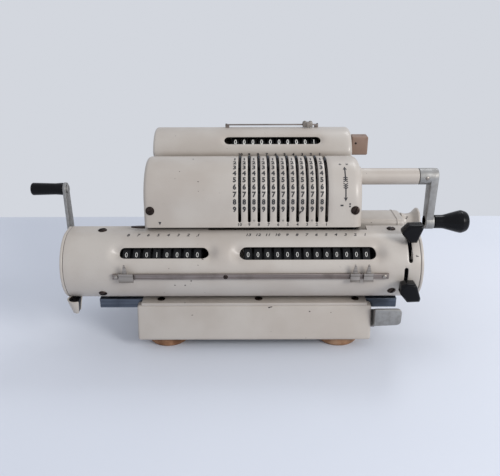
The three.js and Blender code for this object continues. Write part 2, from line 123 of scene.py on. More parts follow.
class Finish:
    """A material around one Principled shader, with its patterns laid out in the object's metres."""

    def __init__(self, name, **constants):
        self.material = bpy.data.materials.new(name)
        self.material.use_nodes = True
        self.nodes = self.material.node_tree.nodes
        self.links = self.material.node_tree.links
        self.shader = self.nodes["Principled BSDF"]
        for socket, value in constants.items():
            self.shader.inputs[socket.replace("_", " ")].default_value = value
        self.place = self.node("ShaderNodeTexCoord", output="Object")

    def node(self, kind, settings=None, sockets=None, output=0):
        """Adds a node: its settings first, then its sockets' values or links. Returns one output."""
        made = self.nodes.new(kind)
        for setting, value in (settings or {}).items():
            setattr(made, setting, value)
        for socket, value in (sockets or {}).items():
            self.feed(made.inputs[socket], value)
        return Wire(self, made.outputs[output])

    def feed(self, socket, value):
        if isinstance(value, Wire):
            self.links.new(value.socket, socket)
        else:
            socket.default_value = value

    def set(self, socket, value):
        self.feed(self.shader.inputs[socket], value)

    def noise(self, scale, detail=3.0, roughness=0.55, stretch=(1, 1, 1)):
        place = self.node("ShaderNodeMapping", {}, {"Vector": self.place, "Scale": stretch})
        sockets = {"Vector": place, "Scale": scale, "Detail": detail, "Roughness": roughness}
        return self.node("ShaderNodeTexNoise", {}, sockets, "Fac")

    def cells(self, scale, smooth=0.6):
        sockets = {"Vector": self.place, "Scale": scale, "Smoothness": smooth}
        return self.node("ShaderNodeTexVoronoi", {"feature": "SMOOTH_F1"}, sockets, "Distance")

    def between(self, value, low, high, start=0.0, end=1.0):
        """Value eased from start at low to end at high."""
        sockets = {"Value": value, "From Min": low, "From Max": high, "To Min": start, "To Max": end}
        return self.node("ShaderNodeMapRange", {"interpolation_type": "SMOOTHSTEP"}, sockets)

    def blend(self, first, second, share):
        return self.node("ShaderNodeMix", {"data_type": "RGBA"}, {0: share, 6: first, 7: second}, 2)

    def relief(self, height, depth, strength=1.0):
        """Height, from 0 to 1, as bump of a depth in metres."""
        sockets = {"Height": height, "Distance": depth, "Strength": strength}
        self.set("Normal", self.node("ShaderNodeBump", {}, sockets))


def colour(red, green, blue):
    """A shader's colour from one on screen, given as 0 to 255."""
    values = [value / 255 for value in (red, green, blue)]
    return (*[v / 12.92 if v <= 0.04045 else ((v + 0.055) / 1.055) ** 2.4 for v in values], 1.0)


def enamel(name, base, shade, chips=0.735):
    """Hammered cream enamel: fine dimples, slow yellowing, a few chips down to the dark primer."""
    finish = Finish(name, Coat_Weight=0.12, Coat_Roughness=0.18)
    patches = finish.noise(22, 3)
    speckle = finish.noise(1600, 2)
    tone = finish.blend(base, shade, finish.between(patches, 0.35, 0.7))
    tone = finish.blend(tone, colour(138, 127, 114), finish.between(speckle, 0.55, 0.85, 0, 0.22))
    spots = finish.between(finish.noise(330, 1.5, 0.4), chips, chips + 0.02)
    worn = finish.between(finish.noise(30, 1), 0.56, 0.6)
    chip = spots * worn
    finish.set("Base Color", finish.blend(tone, colour(42, 38, 36), chip))
    finish.set("Roughness", finish.between(patches, 0.3, 0.7, 0.33, 0.46) + chip * 0.25)
    dimples = finish.cells(620) * 0.7 + finish.noise(900, 2) * 0.5
    finish.relief(dimples - chip * 1.5, 0.00005, 0.55)
    return finish.material


def steel(name, light, dark, rough=(0.28, 0.45), lines=(12, 900, 900), dirt=0.5):
    """Drawn or ground steel: lines along the bar, dull patches and oil in the low places."""
    finish = Finish(name, Metallic=1.0)
    grain = finish.noise(1.0, 3, 0.6, lines)
    patches = finish.noise(60, 4)
    tone = finish.blend(light, dark, finish.between(grain, 0.3, 0.75) * 0.6)
    stain = finish.between(patches, 0.45, 0.75, 0, dirt)
    finish.set("Base Color", finish.blend(tone, dark, stain))
    finish.set("Roughness", finish.between(grain, 0.2, 0.8, *rough) + stain * 0.2)
    finish.relief(grain + patches * 0.3, 0.00003, 0.5)
    return finish.material


def phenolic(name, base, worn, rough=(0.16, 0.34)):
    """Moulded phenolic plastic: polished by hands, with hazy patches and hairline scratches."""
    finish = Finish(name, Specular_IOR_Level=0.16, Coat_Weight=0.05, Coat_Roughness=0.12)
    haze = finish.noise(70, 4)
    scratches = finish.noise(1.0, 2, 0.7, (60, 1800, 1500))
    finish.set("Base Color", finish.blend(base, worn, finish.between(haze, 0.45, 0.8)))
    dulling = finish.between(haze, 0.3, 0.7, *rough)
    finish.set("Roughness", dulling + finish.between(scratches, 0.66, 0.72) * 0.2)
    finish.relief(finish.noise(380, 2) + scratches * 0.4, 0.00003, 0.4)
    return finish.material


def rubber(name):
    """Aged tan rubber: matt, mottled, dusty in patches."""
    finish = Finish(name, Specular_IOR_Level=0.3)
    mottle = finish.noise(140, 5)
    dust = finish.between(finish.noise(45, 3), 0.5, 0.75, 0, 0.5)
    tone = finish.blend(colour(150, 112, 84), colour(112, 78, 56), finish.between(mottle, 0.35, 0.7))
    finish.set("Base Color", finish.blend(tone, colour(172, 148, 124), dust))
    finish.set("Roughness", finish.between(mottle, 0.3, 0.7, 0.7, 0.9))
    finish.relief(mottle, 0.00015, 0.6)
    return finish.material


def wheel_black(name):
    """Satin black lacquer on the number wheels, rubbed grey here and there."""
    finish = Finish(name, Specular_IOR_Level=0.25)
    rub = finish.noise(200, 4)
    rubbed = finish.between(rub, 0.5, 0.8)
    finish.set("Base Color", finish.blend(colour(10, 10, 12), colour(30, 29, 31), rubbed))
    finish.set("Roughness", finish.between(rub, 0.3, 0.7, 0.38, 0.6))
    finish.relief(rub, 0.00003, 0.5)
    return finish.material


def ink(name, base, faded):
    """Printed figures: thin paint with slightly rubbed patches."""
    finish = Finish(name)
    rub = finish.noise(700, 3)
    finish.set("Base Color", finish.blend(base, faded, finish.between(rub, 0.5, 0.75, 0, 0.6)))
    finish.set("Roughness", finish.between(rub, 0.3, 0.7, 0.45, 0.65))
    return finish.material


CREAM = enamel("cream_enamel", colour(184, 177, 169), colour(175, 166, 157))
BRIGHT = steel("bright_steel", colour(176, 169, 162), colour(96, 90, 84), (0.38, 0.52))
NICKEL = steel("dull_nickel", colour(158, 148, 143), colour(88, 78, 72), (0.34, 0.5))
GREY = steel("cast_grey_steel", colour(164, 163, 161), colour(140, 138, 135), (0.5, 0.6),
             (300, 300, 300), 0.2)
BLUED = steel("blued_steel", colour(104, 112, 124), colour(54, 58, 66), (0.3, 0.5))
PLATE = steel("dark_plate", colour(92, 94, 98), colour(44, 44, 46), (0.35, 0.55))
SCREW = steel("blackened_screw", colour(70, 60, 56), colour(26, 22, 21), (0.28, 0.45), (300, 300, 300))
BLACK = phenolic("black_phenolic", colour(5, 5, 8), colour(13, 12, 16))
BROWN = phenolic("brown_phenolic", colour(140, 118, 105), colour(114, 92, 80), (0.38, 0.55))
WHEEL = wheel_black("wheel_lacquer")
WHITE_INK = ink("white_ink", colour(240, 238, 232), colour(190, 188, 182))
BRASS = steel("gear_brass", colour(196, 158, 92), colour(128, 94, 48))
RUBBER = rubber("tan_rubber")
INK = ink("black_ink", colour(38, 38, 42), colour(74, 72, 70))
PALE_INK = ink("pale_ink", colour(196, 194, 188), colour(140, 138, 134))

SLOT_FINISH = {
    "cream_paint": CREAM,
    "bright_steel": BRIGHT,
    "plated_rail": NICKEL,
    "grey_steel": GREY,
    "dark_steel": PLATE,
    "black_plastic": BLACK,
    "dial_black": WHEEL,
    "brown_plastic": BROWN,
    "gear_brass": BRASS,
    "foot_rubber": RUBBER,
}


# ---- Outlines and solids ----

def around(centre, radius, degrees):
    angle = math.radians(degrees)
    return Vector(centre) + radius * Vector((math.cos(angle), math.sin(angle)))


def arc(centre, radius, start, end, step=4.0):
    """Points on an arc from start to end, in degrees."""
    count = max(2, math.ceil(abs(end - start) / step))
    return [around(centre, radius, start + (end - start) * i / count) for i in range(count + 1)]


def rounded(corners, closed=True, step=15.0):
    """An outline through (u, v) or (u, v, radius) corners: a corner that has a radius becomes an arc."""
    outline = []
    last = len(corners) - 1
    for i, (u, v, *radius) in enumerate(corners):
        corner = Vector((u, v))
        if not radius or (not closed and i in (0, last)):
            outline.append(corner)
            continue
        before = (Vector(corners[i - 1][:2]) - corner).normalized()
        after = (Vector(corners[(i + 1) % len(corners)][:2]) - corner).normalized()
        half = before.angle(after) / 2
        centre = corner + (before + after).normalized() * radius[0] / math.sin(half)
        start = corner + before * radius[0] / math.tan(half) - centre
        end = corner + after * radius[0] / math.tan(half) - centre
        sweep = math.atan2(start.x * end.y - start.y * end.x, start.dot(end))
        first = math.atan2(start.y, start.x)
        outline += arc(centre, radius[0], math.degrees(first), math.degrees(first + sweep), step)
    return outline


def inset(outline, amount):
    """A closed outline moved inwards by amount at every edge."""
    count = len(outline)
    area = sum(outline[i - 1].cross(outline[i]) for i in range(count))
    side = 1 if area > 0 else -1
    moved = []
    for i in range(count):
        before = (outline[i] - outline[i - 1]).normalized()
        after = (outline[(i + 1) % count] - outline[i]).normalized()
        normals = [Vector((-edge.y, edge.x)) * side for edge in (before, after)]
        share = max(0.35, 1 + normals[0].dot(normals[1]))
        moved.append(outline[i] + (normals[0] + normals[1]) * amount / share)
    return moved


def skin(mesh, first, second):
    """Faces between two rings of vertices, either of which may be one point."""
    count = max(len(first), len(second))
    for i in range(count):
        j = (i + 1) % count
        corners = [first[i % len(first)], first[j % len(first)],
                   second[j % len(second)], second[i % len(second)]]
        unique = list(dict.fromkeys(corners))
        if len(unique) > 2:
            mesh.faces.new(unique)


def prism(outline, low, high, across="x", soft=0.0, steps=3):
    """A bar of a closed outline between two places across it, its end edges rounded by soft."""
    lay = {
        "x": lambda u, v, w: (w, u, v),
        "y": lambda u, v, w: (u, w, v),
        "z": lambda u, v, w: (u, v, w),
    }[across]
    mesh = bmesh.new()
    rings = []
    for end, direction in ((low, 1), (high, -1)):
        levels = range(steps + 1) if soft else [0]
        made = []
        for level in levels:
            turn = math.pi / 2 * level / steps
            ring = inset(outline, soft * (1 - math.sin(turn))) if soft else outline
            depth = end + direction * soft * (1 - math.cos(turn))
            made.append([mesh.verts.new(lay(p.x, p.y, depth)) for p in ring])
        rings += made if direction > 0 else made[::-1]
    for first, second in zip(rings, rings[1:]):
        skin(mesh, first, second)
    mesh.faces.new(rings[0])
    mesh.faces.new(rings[-1])
    return mesh


def block(low, high, corner=0.5, soft=None, across="x"):
    """A box with rounded corners, and ends rounded by soft."""
    order = {"x": (1, 2, 0), "y": (0, 2, 1), "z": (0, 1, 2)}[across]
    (u0, v0, w0), (u1, v1, w1) = ([end[i] for i in order] for end in (low, high))
    outline = rounded([(u0, v0, corner), (u1, v0, corner), (u1, v1, corner), (u0, v1, corner)])
    return prism(outline, w0, w1, across, corner * 0.8 if soft is None else soft)


def link(a, radius_a, b, radius_b, low, high, soft=0.5):
    """A bar with two round ends, about two axes along x given by y and z."""
    a, b = Vector(a), Vector(b)
    angle = math.degrees(math.atan2(b.y - a.y, b.x - a.x))
    outline = arc(a, radius_a, angle + 90, angle + 270, 8) + arc(b, radius_b, angle - 90, angle + 90, 8)
    return prism(outline, low, high, "x", soft)


def turned(profile, axis=(0, 0), segments=48):
    """A body of revolution about an axis along x, given by y and z. The profile holds (x, radius) points."""
    mesh = bmesh.new()
    rings = []
    for place, radius in profile:
        if radius < 1e-6:
            rings.append([mesh.verts.new((place, *axis))])
            continue
        ring = [around(axis, radius, 360 * i / segments) for i in range(segments)]
        rings.append([mesh.verts.new((place, *point)) for point in ring])
    for first, second in zip(rings, rings[1:]):
        skin(mesh, first, second)
    if profile[0][1] > 1e-6:
        skin(mesh, rings[-1], rings[0])
    return mesh


def joined(*meshes):
    """One mesh that holds all of them."""
    whole = bmesh.new()
    for mesh in meshes:
        part = bpy.data.meshes.new("part")
        mesh.to_mesh(part)
        mesh.free()
        whole.from_mesh(part)
        bpy.data.meshes.remove(part)
    return whole


def stood(mesh, at, facing):
    """A mesh made along x, moved so that x points along facing from at."""
    turn = Vector(facing).to_track_quat("X", "Z").to_matrix().to_4x4()
    bmesh.ops.transform(mesh, matrix=Matrix.Translation(Vector(at)) @ turn, verts=mesh.verts)
    return mesh


def piece(name, mesh, finish, body, stands_for=(), thick=0.0, sharp=34.0):
    """Puts a mesh in the scene as a named piece that moves with a body."""
    bmesh.ops.recalc_face_normals(mesh, faces=mesh.faces)
    place = Matrix.Translation(ORIGIN) @ Matrix.Scale(MM, 4)
    bmesh.ops.transform(mesh, matrix=place, verts=mesh.verts)
    data = bpy.data.meshes.new(name)
    mesh.to_mesh(data)
    mesh.free()
    data.materials.append(finish)
    made = bpy.data.objects.new(name, data)
    bpy.context.scene.collection.objects.link(made)
    if thick:
        shell = made.modifiers.new("thickness", "SOLIDIFY")
        shell.thickness = thick * MM
        shell.offset = -1.0
        made.data = bpy.data.meshes.new_from_object(made.evaluated_get(bpy.context.evaluated_depsgraph_get()))
        made.modifiers.clear()
    made.data.shade_smooth()
    made.data.set_sharp_from_angle(angle=math.radians(sharp))
    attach(made, body)
    if stands_for:
        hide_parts(*stands_for)
    return made


# ---- Bent sheet ----

class Bend:
    """A bent sheet's side view, measured along the sheet from its first point."""

    def __init__(self, points):
        self.points = [points[0]]
        for point in points[1:]:
            if (point - self.points[-1]).length > 0.05:
                self.points.append(point)
        self.marks = [0.0]
        for before, after in zip(self.points, self.points[1:]):
            self.marks.append(self.marks[-1] + (after - before).length)
        edges = [(after - before).normalized() for before, after in zip(self.points, self.points[1:])]
        joints = [edges[0]] + [(a + b).normalized() for a, b in zip(edges, edges[1:])] + [edges[-1]]
        self.normals = [Vector((-edge.y, edge.x)) for edge in joints]
        self.length = self.marks[-1]

    def at(self, along):
        """The point and the outward direction at a place along the sheet."""
        along = min(max(along, 0.0), self.length)
        i = 0
        while i < len(self.marks) - 2 and self.marks[i + 1] < along:
            i += 1
        share = (along - self.marks[i]) / (self.marks[i + 1] - self.marks[i])
        normal = self.normals[i].lerp(self.normals[i + 1], share).normalized()
        return self.points[i].lerp(self.points[i + 1], share), normal

    def polar(self, axis, degrees):
        """The place along the sheet that stands at an angle about an axis."""
        def past(along):
            offset = self.at(along)[0] - Vector(axis)
            return (math.degrees(math.atan2(offset.y, offset.x)) - degrees + 180) % 360 - 180
        steps = [self.length * i / 400 for i in range(401)]
        for low, high in zip(steps, steps[1:]):
            if abs(past(low)) < 20 and past(low) * past(high) <= 0:
                return low + (high - low) * past(low) / (past(low) - past(high) or 1)
        return 0.0


class Hole:
    """A slot with round ends from a to b on the sheet. Around it the sheet may be pressed in by depth."""

    def __init__(self, a, b, radius, depth=(0.0, 0.0), reach=(0.0, 0.0)):
        self.a, self.b = Vector(a), Vector(b)
        self.radius = radius
        self.depth = depth  # of the pressing, beside and beyond the hole
        self.reach = reach

    def gap(self, spot):
        """How far a spot is from the hole's edge."""
        return self.from_middle(spot).length - self.radius

    def from_middle(self, spot):
        line = self.b - self.a
        share = max(0.0, min(1.0, (spot - self.a).dot(line) / line.length_squared)) if line.length else 0.0
        return spot - (self.a + line * share)

    def sink(self, spot):
        gap = self.gap(spot)
        lip = 0.25 * (1 - max(0.0, gap) / 0.6) ** 2 if gap < 0.6 else 0.0
        if not self.reach[0]:
            return lip
        offset = self.from_middle(spot)
        lean = abs(offset.x) / max(offset.length, 1e-6)
        reach = self.reach[0] + (self.reach[1] - self.reach[0]) * lean
        share = min(1.0, max(0.0, gap / reach))
        depth = self.depth[0] + (self.depth[1] - self.depth[0]) * lean**3
        return lip + depth * (1 - share * share * (3 - 2 * share))

    def ring(self, outset):
        radius = self.radius + outset
        line = self.b - self.a
        angle = math.degrees(math.atan2(line.y, line.x))
        step = max(12.0, min(40.0, math.degrees(1.2 / radius)))
        ends = (arc(self.b, radius, angle - 90, angle + 90, step),
                arc(self.a, radius, angle + 90, angle + 270, step))
        count = max(1, round(line.length / 2.5))
        side = Vector((-line.y, line.x)).normalized() * radius
        back = [self.b.lerp(self.a, i / count) + side for i in range(1, count)]
        there = [self.a.lerp(self.b, i / count) - side for i in range(1, count)]
        return ends[0] + back + ends[1] + there


class Cover:
    """A bent sheet between two x, with holes, pressings and rounded ends."""

    def __init__(self, points, low, high, ends, holes=()):
        self.bend = Bend(points)
        self.low, self.high = low, high
        self.ends = ends
        self.holes = holes
        self.notches = []  # (first x, last x, place along the sheet) cut out of its last edge

    def at(self, x, along, lift=0.0):
        point, normal = self.bend.at(along)
        spot = Vector((x, along))
        sink = sum(hole.sink(spot) for hole in self.holes)
        for radius, depth in zip(self.ends, (x - self.low, self.high - x)):
            if depth < radius:
                sink += radius - math.sqrt(max(0.0, radius**2 - (radius - depth) ** 2))
        point = point + normal * (lift - sink)
        return Vector((x, point.x, point.y))

    def facing(self, along):
        """The outward direction of the bend in space."""
        normal = self.bend.at(along)[1]
        return Vector((0, normal.x, normal.y))

    def stops(self, low, high, ends, step):
        """Places across the sheet, closer where its ends are rounded."""
        left = [low + ends[0] * (1 - math.cos(math.pi / 2 * i / 5)) for i in range(5)]
        right = [high - ends[1] * (1 - math.cos(math.pi / 2 * i / 5)) for i in range(5)]
        middle = (low + ends[0], high - ends[1])
        count = max(1, round((middle[1] - middle[0]) / step))
        between = [middle[0] + (middle[1] - middle[0]) * i / count for i in range(count + 1)]
        return left + between + right[::-1]

    def mesh(self, step, closing, rings=(0.0, 0.3, 0.7, 1.6, 3.0, 4.6, 6.4, 8.4)):
        """The sheet, with an end wall at each side that closes over the given y and z points."""
        across = self.stops(self.low, self.high, self.ends, step)
        count = max(2, round(self.bend.length / (step * 0.7)))
        rise = [self.bend.length * i / count for i in range(count + 1)]
        spots, edges = [], []
        for hole in self.holes:
            for outset in rings:
                if outset and outset > max(hole.reach) + 0.8:
                    continue
                ring = hole.ring(outset)
                if outset == 0.0:
                    first = len(spots)
                    edges += [(first + i, first + (i + 1) % len(ring)) for i in range(len(ring))]
                    spots += ring
                else:
                    spots += [spot for spot in ring if self.free(spot, hole, outset * 0.9)]
        clear = step * 0.45
        for i, x in enumerate(across):
            for j, along in enumerate(rise):
                spot = Vector((x, along))
                rim = i in (0, len(across) - 1) or j in (0, len(rise) - 1)
                if all(hole.gap(spot) > (0.0 if rim else max(hole.reach) + clear) for hole in self.holes):
                    spots.append(spot)
        corners = len(spots)
        spots += [Vector((x, y)) for x in (self.low, self.high) for y in (0.0, self.bend.length)]
        edges += [(corners, corners + 1), (corners + 2, corners + 3),
                  (corners, corners + 2), (corners + 1, corners + 3)]
        for low, high, along in self.notches:
            first = len(spots)
            spots += [Vector((low, self.bend.length)), Vector((low, along)), Vector((high, along)),
                      Vector((high, self.bend.length))]
            edges += [(first, first + 1), (first + 1, first + 2), (first + 2, first + 3)]
        flat, _, faces, *_ = delaunay_2d_cdt(spots, edges, [], 0, 1e-3)
        return self.raised(flat, faces, closing)

    def free(self, spot, own, least):
        inside = self.low + 0.3 < spot.x < self.high - 0.3 and 0.3 < spot.y < self.bend.length - 0.3
        return inside and all(hole is own or hole.gap(spot) > least for hole in self.holes)

    def raised(self, flat, faces, closing):
        mesh = bmesh.new()
        verts = {}
        for face in faces:
            middle = sum((flat[i] for i in face), Vector((0, 0))) / len(face)
            if not 0 < middle.y < self.bend.length or any(hole.gap(middle) < 0 for hole in self.holes):
                continue
            if any(low < middle.x < high and middle.y > along for low, high, along in self.notches):
                continue
            for i in face:
                if i not in verts:
                    verts[i] = mesh.verts.new(self.at(*flat[i]))
            mesh.faces.new([verts[i] for i in face])
        for x in (self.low, self.high) if closing else ():
            rim = sorted((i for i in verts if abs(flat[i].x - x) < 1e-4), key=lambda i: flat[i].y)
            wall = [verts[i] for i in rim] + [mesh.verts.new((x, *point)) for point in closing]
            mesh.faces.new(wall)
        return mesh


class Wheel:
    """The rim of a wheel about an axis along x, as a surface to print on."""

    def __init__(self, axis, radius):
        self.axis, self.radius = axis, radius

    def at(self, x, along, lift=0.0):
        return Vector((x, *around(self.axis, self.radius + lift, -math.degrees(along / self.radius))))

    def polar(self, degrees):
        return -math.radians(degrees) * self.radius


# ---- Printed figures and screws ----

GLYPHS = {}
CAP_HEIGHT = 0.729  # of a text of size 1


def glyph(words, lean, bold):
    """The corners and faces of a text as high as 1, centred, front at 1 and back at -1."""
    key = (words, lean, bold)
    if key not in GLYPHS:
        curve = bpy.data.curves.new("glyph", "FONT")
        curve.body = words
        curve.size = 1 / CAP_HEIGHT
        curve.align_x = "CENTER"
        curve.shear = lean
        curve.offset = bold
        curve.extrude = 1.0
        curve.resolution_u = 2
        holder = bpy.data.objects.new("glyph", curve)
        data = bpy.data.meshes.new_from_object(holder)
        sliced = bmesh.new()
        sliced.from_mesh(data)
        for i in range(1, 8):
            parts = sliced.verts[:] + sliced.edges[:] + sliced.faces[:]
            bmesh.ops.bisect_plane(sliced, geom=parts, plane_co=(0, i / 8, 0), plane_no=(0, 1, 0))
        sliced.verts.index_update()
        faces = [tuple(vert.index for vert in face.verts) for face in sliced.faces]
        GLYPHS[key] = [vert.co.copy() for vert in sliced.verts], faces
        sliced.free()
        bpy.data.objects.remove(holder)
        bpy.data.curves.remove(curve)
        bpy.data.meshes.remove(data)
    return GLYPHS[key]


class Print:
    """Figures and marks laid on surfaces, gathered into one piece."""

    THICK = 0.03

    def __init__(self):
        self.mesh = bmesh.new()

    def lay(self, corners, faces, surface, x, along):
        """Flat corners (u, v, front or back) laid on a surface about a spot."""
        made = [
            self.mesh.verts.new(surface.at(x + u, along + v, self.THICK * (1.2 + w))) for u, v, w in corners
        ]
        for face in faces:
            self.mesh.faces.new([made[i] for i in face])

    def text(self, words, surface, x, along, height, lean=0.0, bold=0.02, narrow=1.0):
        corners, faces = glyph(words, lean, bold)
        scaled = [(c.x * height * narrow, (c.y - 0.5) * height, c.z) for c in corners]
        self.lay(scaled, faces, surface, x, along)

    def shape(self, outline, surface, x, along):
        """A filled convex mark."""
        count = len(outline)
        corners = [(u, v, w) for w in (1, -1) for u, v in outline]
        faces = [tuple(range(count)), tuple(range(2 * count - 1, count - 1, -1))]
        faces += [(i, i + count, (i + 1) % count + count, (i + 1) % count) for i in range(count)]
        self.lay(corners, faces, surface, x, along)

    def bar(self, start, end, width, surface, x, along):
        """A stroke between two points."""
        start, line = Vector(start), Vector(end) - Vector(start)
        side = Vector((-line.y, line.x)).normalized() * width / 2
        count = max(1, math.ceil(line.length / 1.2))
        for i in range(count):
            a, b = start + line * i / count, start + line * (i + 1) / count
            self.shape([tuple(p) for p in (a + side, a - side, b - side, b + side)], surface, x, along)


def dome_points(height, radius, step):
    """A round head's side view from its rim, stopping short of its middle."""
    angles = [math.radians(degrees) for degrees in range(0, 90, step)]
    return [(height * math.sin(angle), radius * math.cos(angle)) for angle in angles]


def screw(at, facing, radius=3.1, turn=0.0, height=1.3):
    """A slotted screw's domed head, its slot turned by turn."""
    dome = dome_points(height, radius, 15)
    profile = [(-0.8, 0), (-0.8, radius * 0.8), (-0.1, radius), (0.12, radius)]
    profile += [(0.15 + rise, reach) for rise, reach in dome[1:]] + [(0.15 + height, 0)]
    mesh = turned(profile, segments=28)
    slot = radius * 0.17
    for place in (slot, -slot, slot + 0.06, -slot - 0.06):
        parts = mesh.verts[:] + mesh.edges[:] + mesh.faces[:]
        bmesh.ops.bisect_plane(mesh, geom=parts, plane_co=(0, 0, place), plane_no=(0, 0, 1))
    for vert in mesh.verts:
        if abs(vert.co.z) < slot + 0.01 and vert.co.x > 0.2:
            vert.co.x = 0.2
    bmesh.ops.transform(mesh, matrix=Matrix.Rotation(math.radians(turn), 4, "X"), verts=mesh.verts)
    return stood(mesh, at, facing)


def rivet(at, facing, radius=1.4, height=0.7):
    """A round rivet's head."""
    dome = dome_points(height, radius, 18)
    return stood(turned([(-0.6, 0), (-0.6, radius), *dome, (height, 0)], segments=24), at, facing)


# ---- Base and feet ----

def make_base():
    low, high = span("base_cover")
    rail_low, rail_high = span("carriage_rail")
    top, bottom = high.z - 0.3, low.z
    front, back = rail_low.y - 1, rail_high.y + 1
    groove = rail_low.z - 0.3
    outline = rounded([
        (low.y, bottom, 2.2), (high.y, bottom, 2.2), (high.y - 2, top, 2.5), (back, top, 0.6), (back, groove),
        (front, groove), (front, top, 0.6), (low.y + 6, top, 2.0),
    ])
    shell = prism(outline, low.x, high.x, "x", 2.0, 4)
    piece("base_shell", shell, CREAM, "frame", ["base_cover"])

    ledge_front, ledge_back, ledge_top = low.y + 6.3, -31.2, rail_high.z + 0.45
    strip = block((low.x + 3.4, ledge_front, top - 0.3), (high.x - 3.4, ledge_back, ledge_top), 0.5)
    piece("base_ledge_strip", strip, CREAM, "frame")
    for number, x in enumerate((-69.5, 4.1, 77.0)):
        place = (x, (ledge_front + ledge_back) / 2, ledge_top - 0.05)
        head = screw(place, (0, 0, 1), 2.9, 35 + 50 * number, 0.9)
        piece(f"ledge_screw_{number + 1}", head, SCREW, "frame")

    plate_low, plate_high = span("base_plate")
    corner = 5
    sides = [(plate_low.x, plate_low.y), (plate_high.x, plate_low.y), (plate_high.x, plate_high.y),
             (plate_low.x, plate_high.y)]
    plan = rounded([(x, y, corner) for x, y in sides])
    plate = prism(plan, bottom - 0.9, bottom + 1.0, "z", 0.4)
    ribs = [block((plate_low.x + 20, y - 2, bottom - 1.5), (plate_high.x - 20, y + 2, bottom - 0.5), 0.5)
            for y in (-20, 5, 30)]
    piece("base_plate_sheet", joined(plate, *ribs), PLATE, "frame", ["base_plate"])
    for number, (x, y) in enumerate([(-78, 0), (79, 0), (0, -44), (0, 50)]):
        head = screw((x, y, bottom - 0.8), (0, 0, -1), 2.4, 40 * number, 0.8)
        piece(f"base_plate_screw_{number + 1}", head, SCREW, "frame")

    rail = block(rail_low, rail_high, 0.5, 0.6)
    piece("carriage_rail_bar", rail, BLUED, "frame", ["carriage_rail"])


def make_feet():
    for where in ("front_left", "front_right", "back_left", "back_right"):
        node = f"foot_{where}"
        low, high = span(node)
        radius = (high.x - low.x) / 2
        tall = high.z - 0.05
        corners = [(0.9, 0), (0.9, 4.5, 0.4), (0, 5.6, 0.5), (0, radius - 1.2, 1.2), (1.6, radius, 1.0),
                   (tall - 1.5, radius - 0.6, 1.2), (tall, radius - 1.2, 0.8), (tall, 0)]
        profile = rounded(corners, closed=False)
        foot = stood(turned(profile, segments=64), ((low.x + high.x) / 2, (low.y + high.y) / 2, 0), (0, 0, 1))
        piece(f"{node}_pad", foot, RUBBER, "frame", [node])
        head = screw(((low.x + high.x) / 2, (low.y + high.y) / 2, 0.95), (0, 0, -1), 2.6, 20, 0.5)
        piece(f"{node}_screw", head, SCREW, "frame")


# ---- Housing ----

def drum_cover_points():
    axis = (DRUM.y, DRUM.z)
    foot = span("drum_cover")[0].z
    lean = COVER_FLARE * (DRUM.z - foot)
    skirt = [Vector((-COVER_RADIUS - lean, foot)), Vector((-COVER_RADIUS - lean * 0.5, (foot + DRUM.z) / 2))]
    return skirt + arc(axis, COVER_RADIUS, 176, 22, 1.5)


def make_drum_cover():
    low, high = span("drum_cover")
    points = drum_cover_points()
    bend = Bend(points)
    axis = (DRUM.y, DRUM.z)

    def at_height(z):
        return (z - low.z) * math.hypot(1, COVER_FLARE)

    foot = at_height(97.6)
    holes = [Hole((x, foot + 1.1), (x, bend.length + 20), 1.15) for x in SLOT_X.values()]
    cover = Cover(points, low.x, high.x, (3.0, 6.0), holes)
    mesh = cover.mesh(3.0, [(high.y - 0.2, low.z)], rings=(0.0, 0.3, 1.1, 2.4))
    piece("drum_cover_shell", mesh, CREAM, "frame", ["drum_cover"], thick=SHEET)

    figures = Print()

    def beside(words, x, degrees, height, **more):
        figures.text(words, cover, x, bend.polar(axis, degrees), height, **more)

    for column, x in SLOT_X.items():
        for digit in range(1, 10):
            beside(str(digit), x - 3.6, ZERO_ANGLE + DIGIT_ANGLE * digit, 3.8, bold=0.06, narrow=0.95)
        figures.text(str(column), cover, x, at_height(96.2), 2.1, bold=0.03, narrow=1.15)
    for column in (3, 6, 9):
        figures.text("o", cover, (SLOT_X[column] + SLOT_X[column - 1]) / 2, at_height(99.4), 2.1, bold=0.0)
    beside("+", 63.6, 112, 3.0)
    beside("×", 68.6, 112, 3.0)
    beside("-", 64.0, 173.7, 4.6, bold=0.07)
    beside(":", 69.8, 173.7, 3.8, bold=0.09)
    for tip, tail, way in ((117, 141, 1), (170, 146, -1)):
        start, end = (bend.polar(axis, degrees) for degrees in (tail, tip))
        long = abs(end - start)
        middle = 66.6
        figures.bar((0, 0), (0, way * (long - 2.4)), 0.9, cover, middle, start)
        for reach in (-1.5, 1.5):
            barb = [(reach, way * (long - 3.2)), (0, way * (long - 2.4)), (0, way * long)]
            figures.shape(barb, cover, middle, start)
        for feather in range(3):
            base = way * (0.2 + feather * 1.5)
            for side in (-1, 1):
                figures.bar((0, base), (side * 1.6, base - way * 1.0), 0.7, cover, middle, start)
    figures.shape([(-1.1, 1.0), (1.1, 1.0), (0, -1.4)], cover, -67.7, at_height(97.2))
    piece("drum_cover_figures", figures.mesh, INK, "frame")

    for number, (x, turn) in enumerate(((-74.6, 25), (73.8, 60))):
        along = at_height(106.2)
        head = screw(cover.at(x, along, 0.05), cover.facing(along), 3.2, turn, 1.1)
        piece(f"drum_cover_screw_{number + 1}", head, SCREW, "frame")

    pointer = rounded([(-90.2, -29.6, 0.3), (-84, -31.4, 1.0), (-79.0, -31.6), (-79.0, -28.4),
                       (-84, -28.4, 1.0)])
    piece("cover_pointer", prism(pointer, 93.0, 94.2, "z", 0.25), SCREW, "frame")


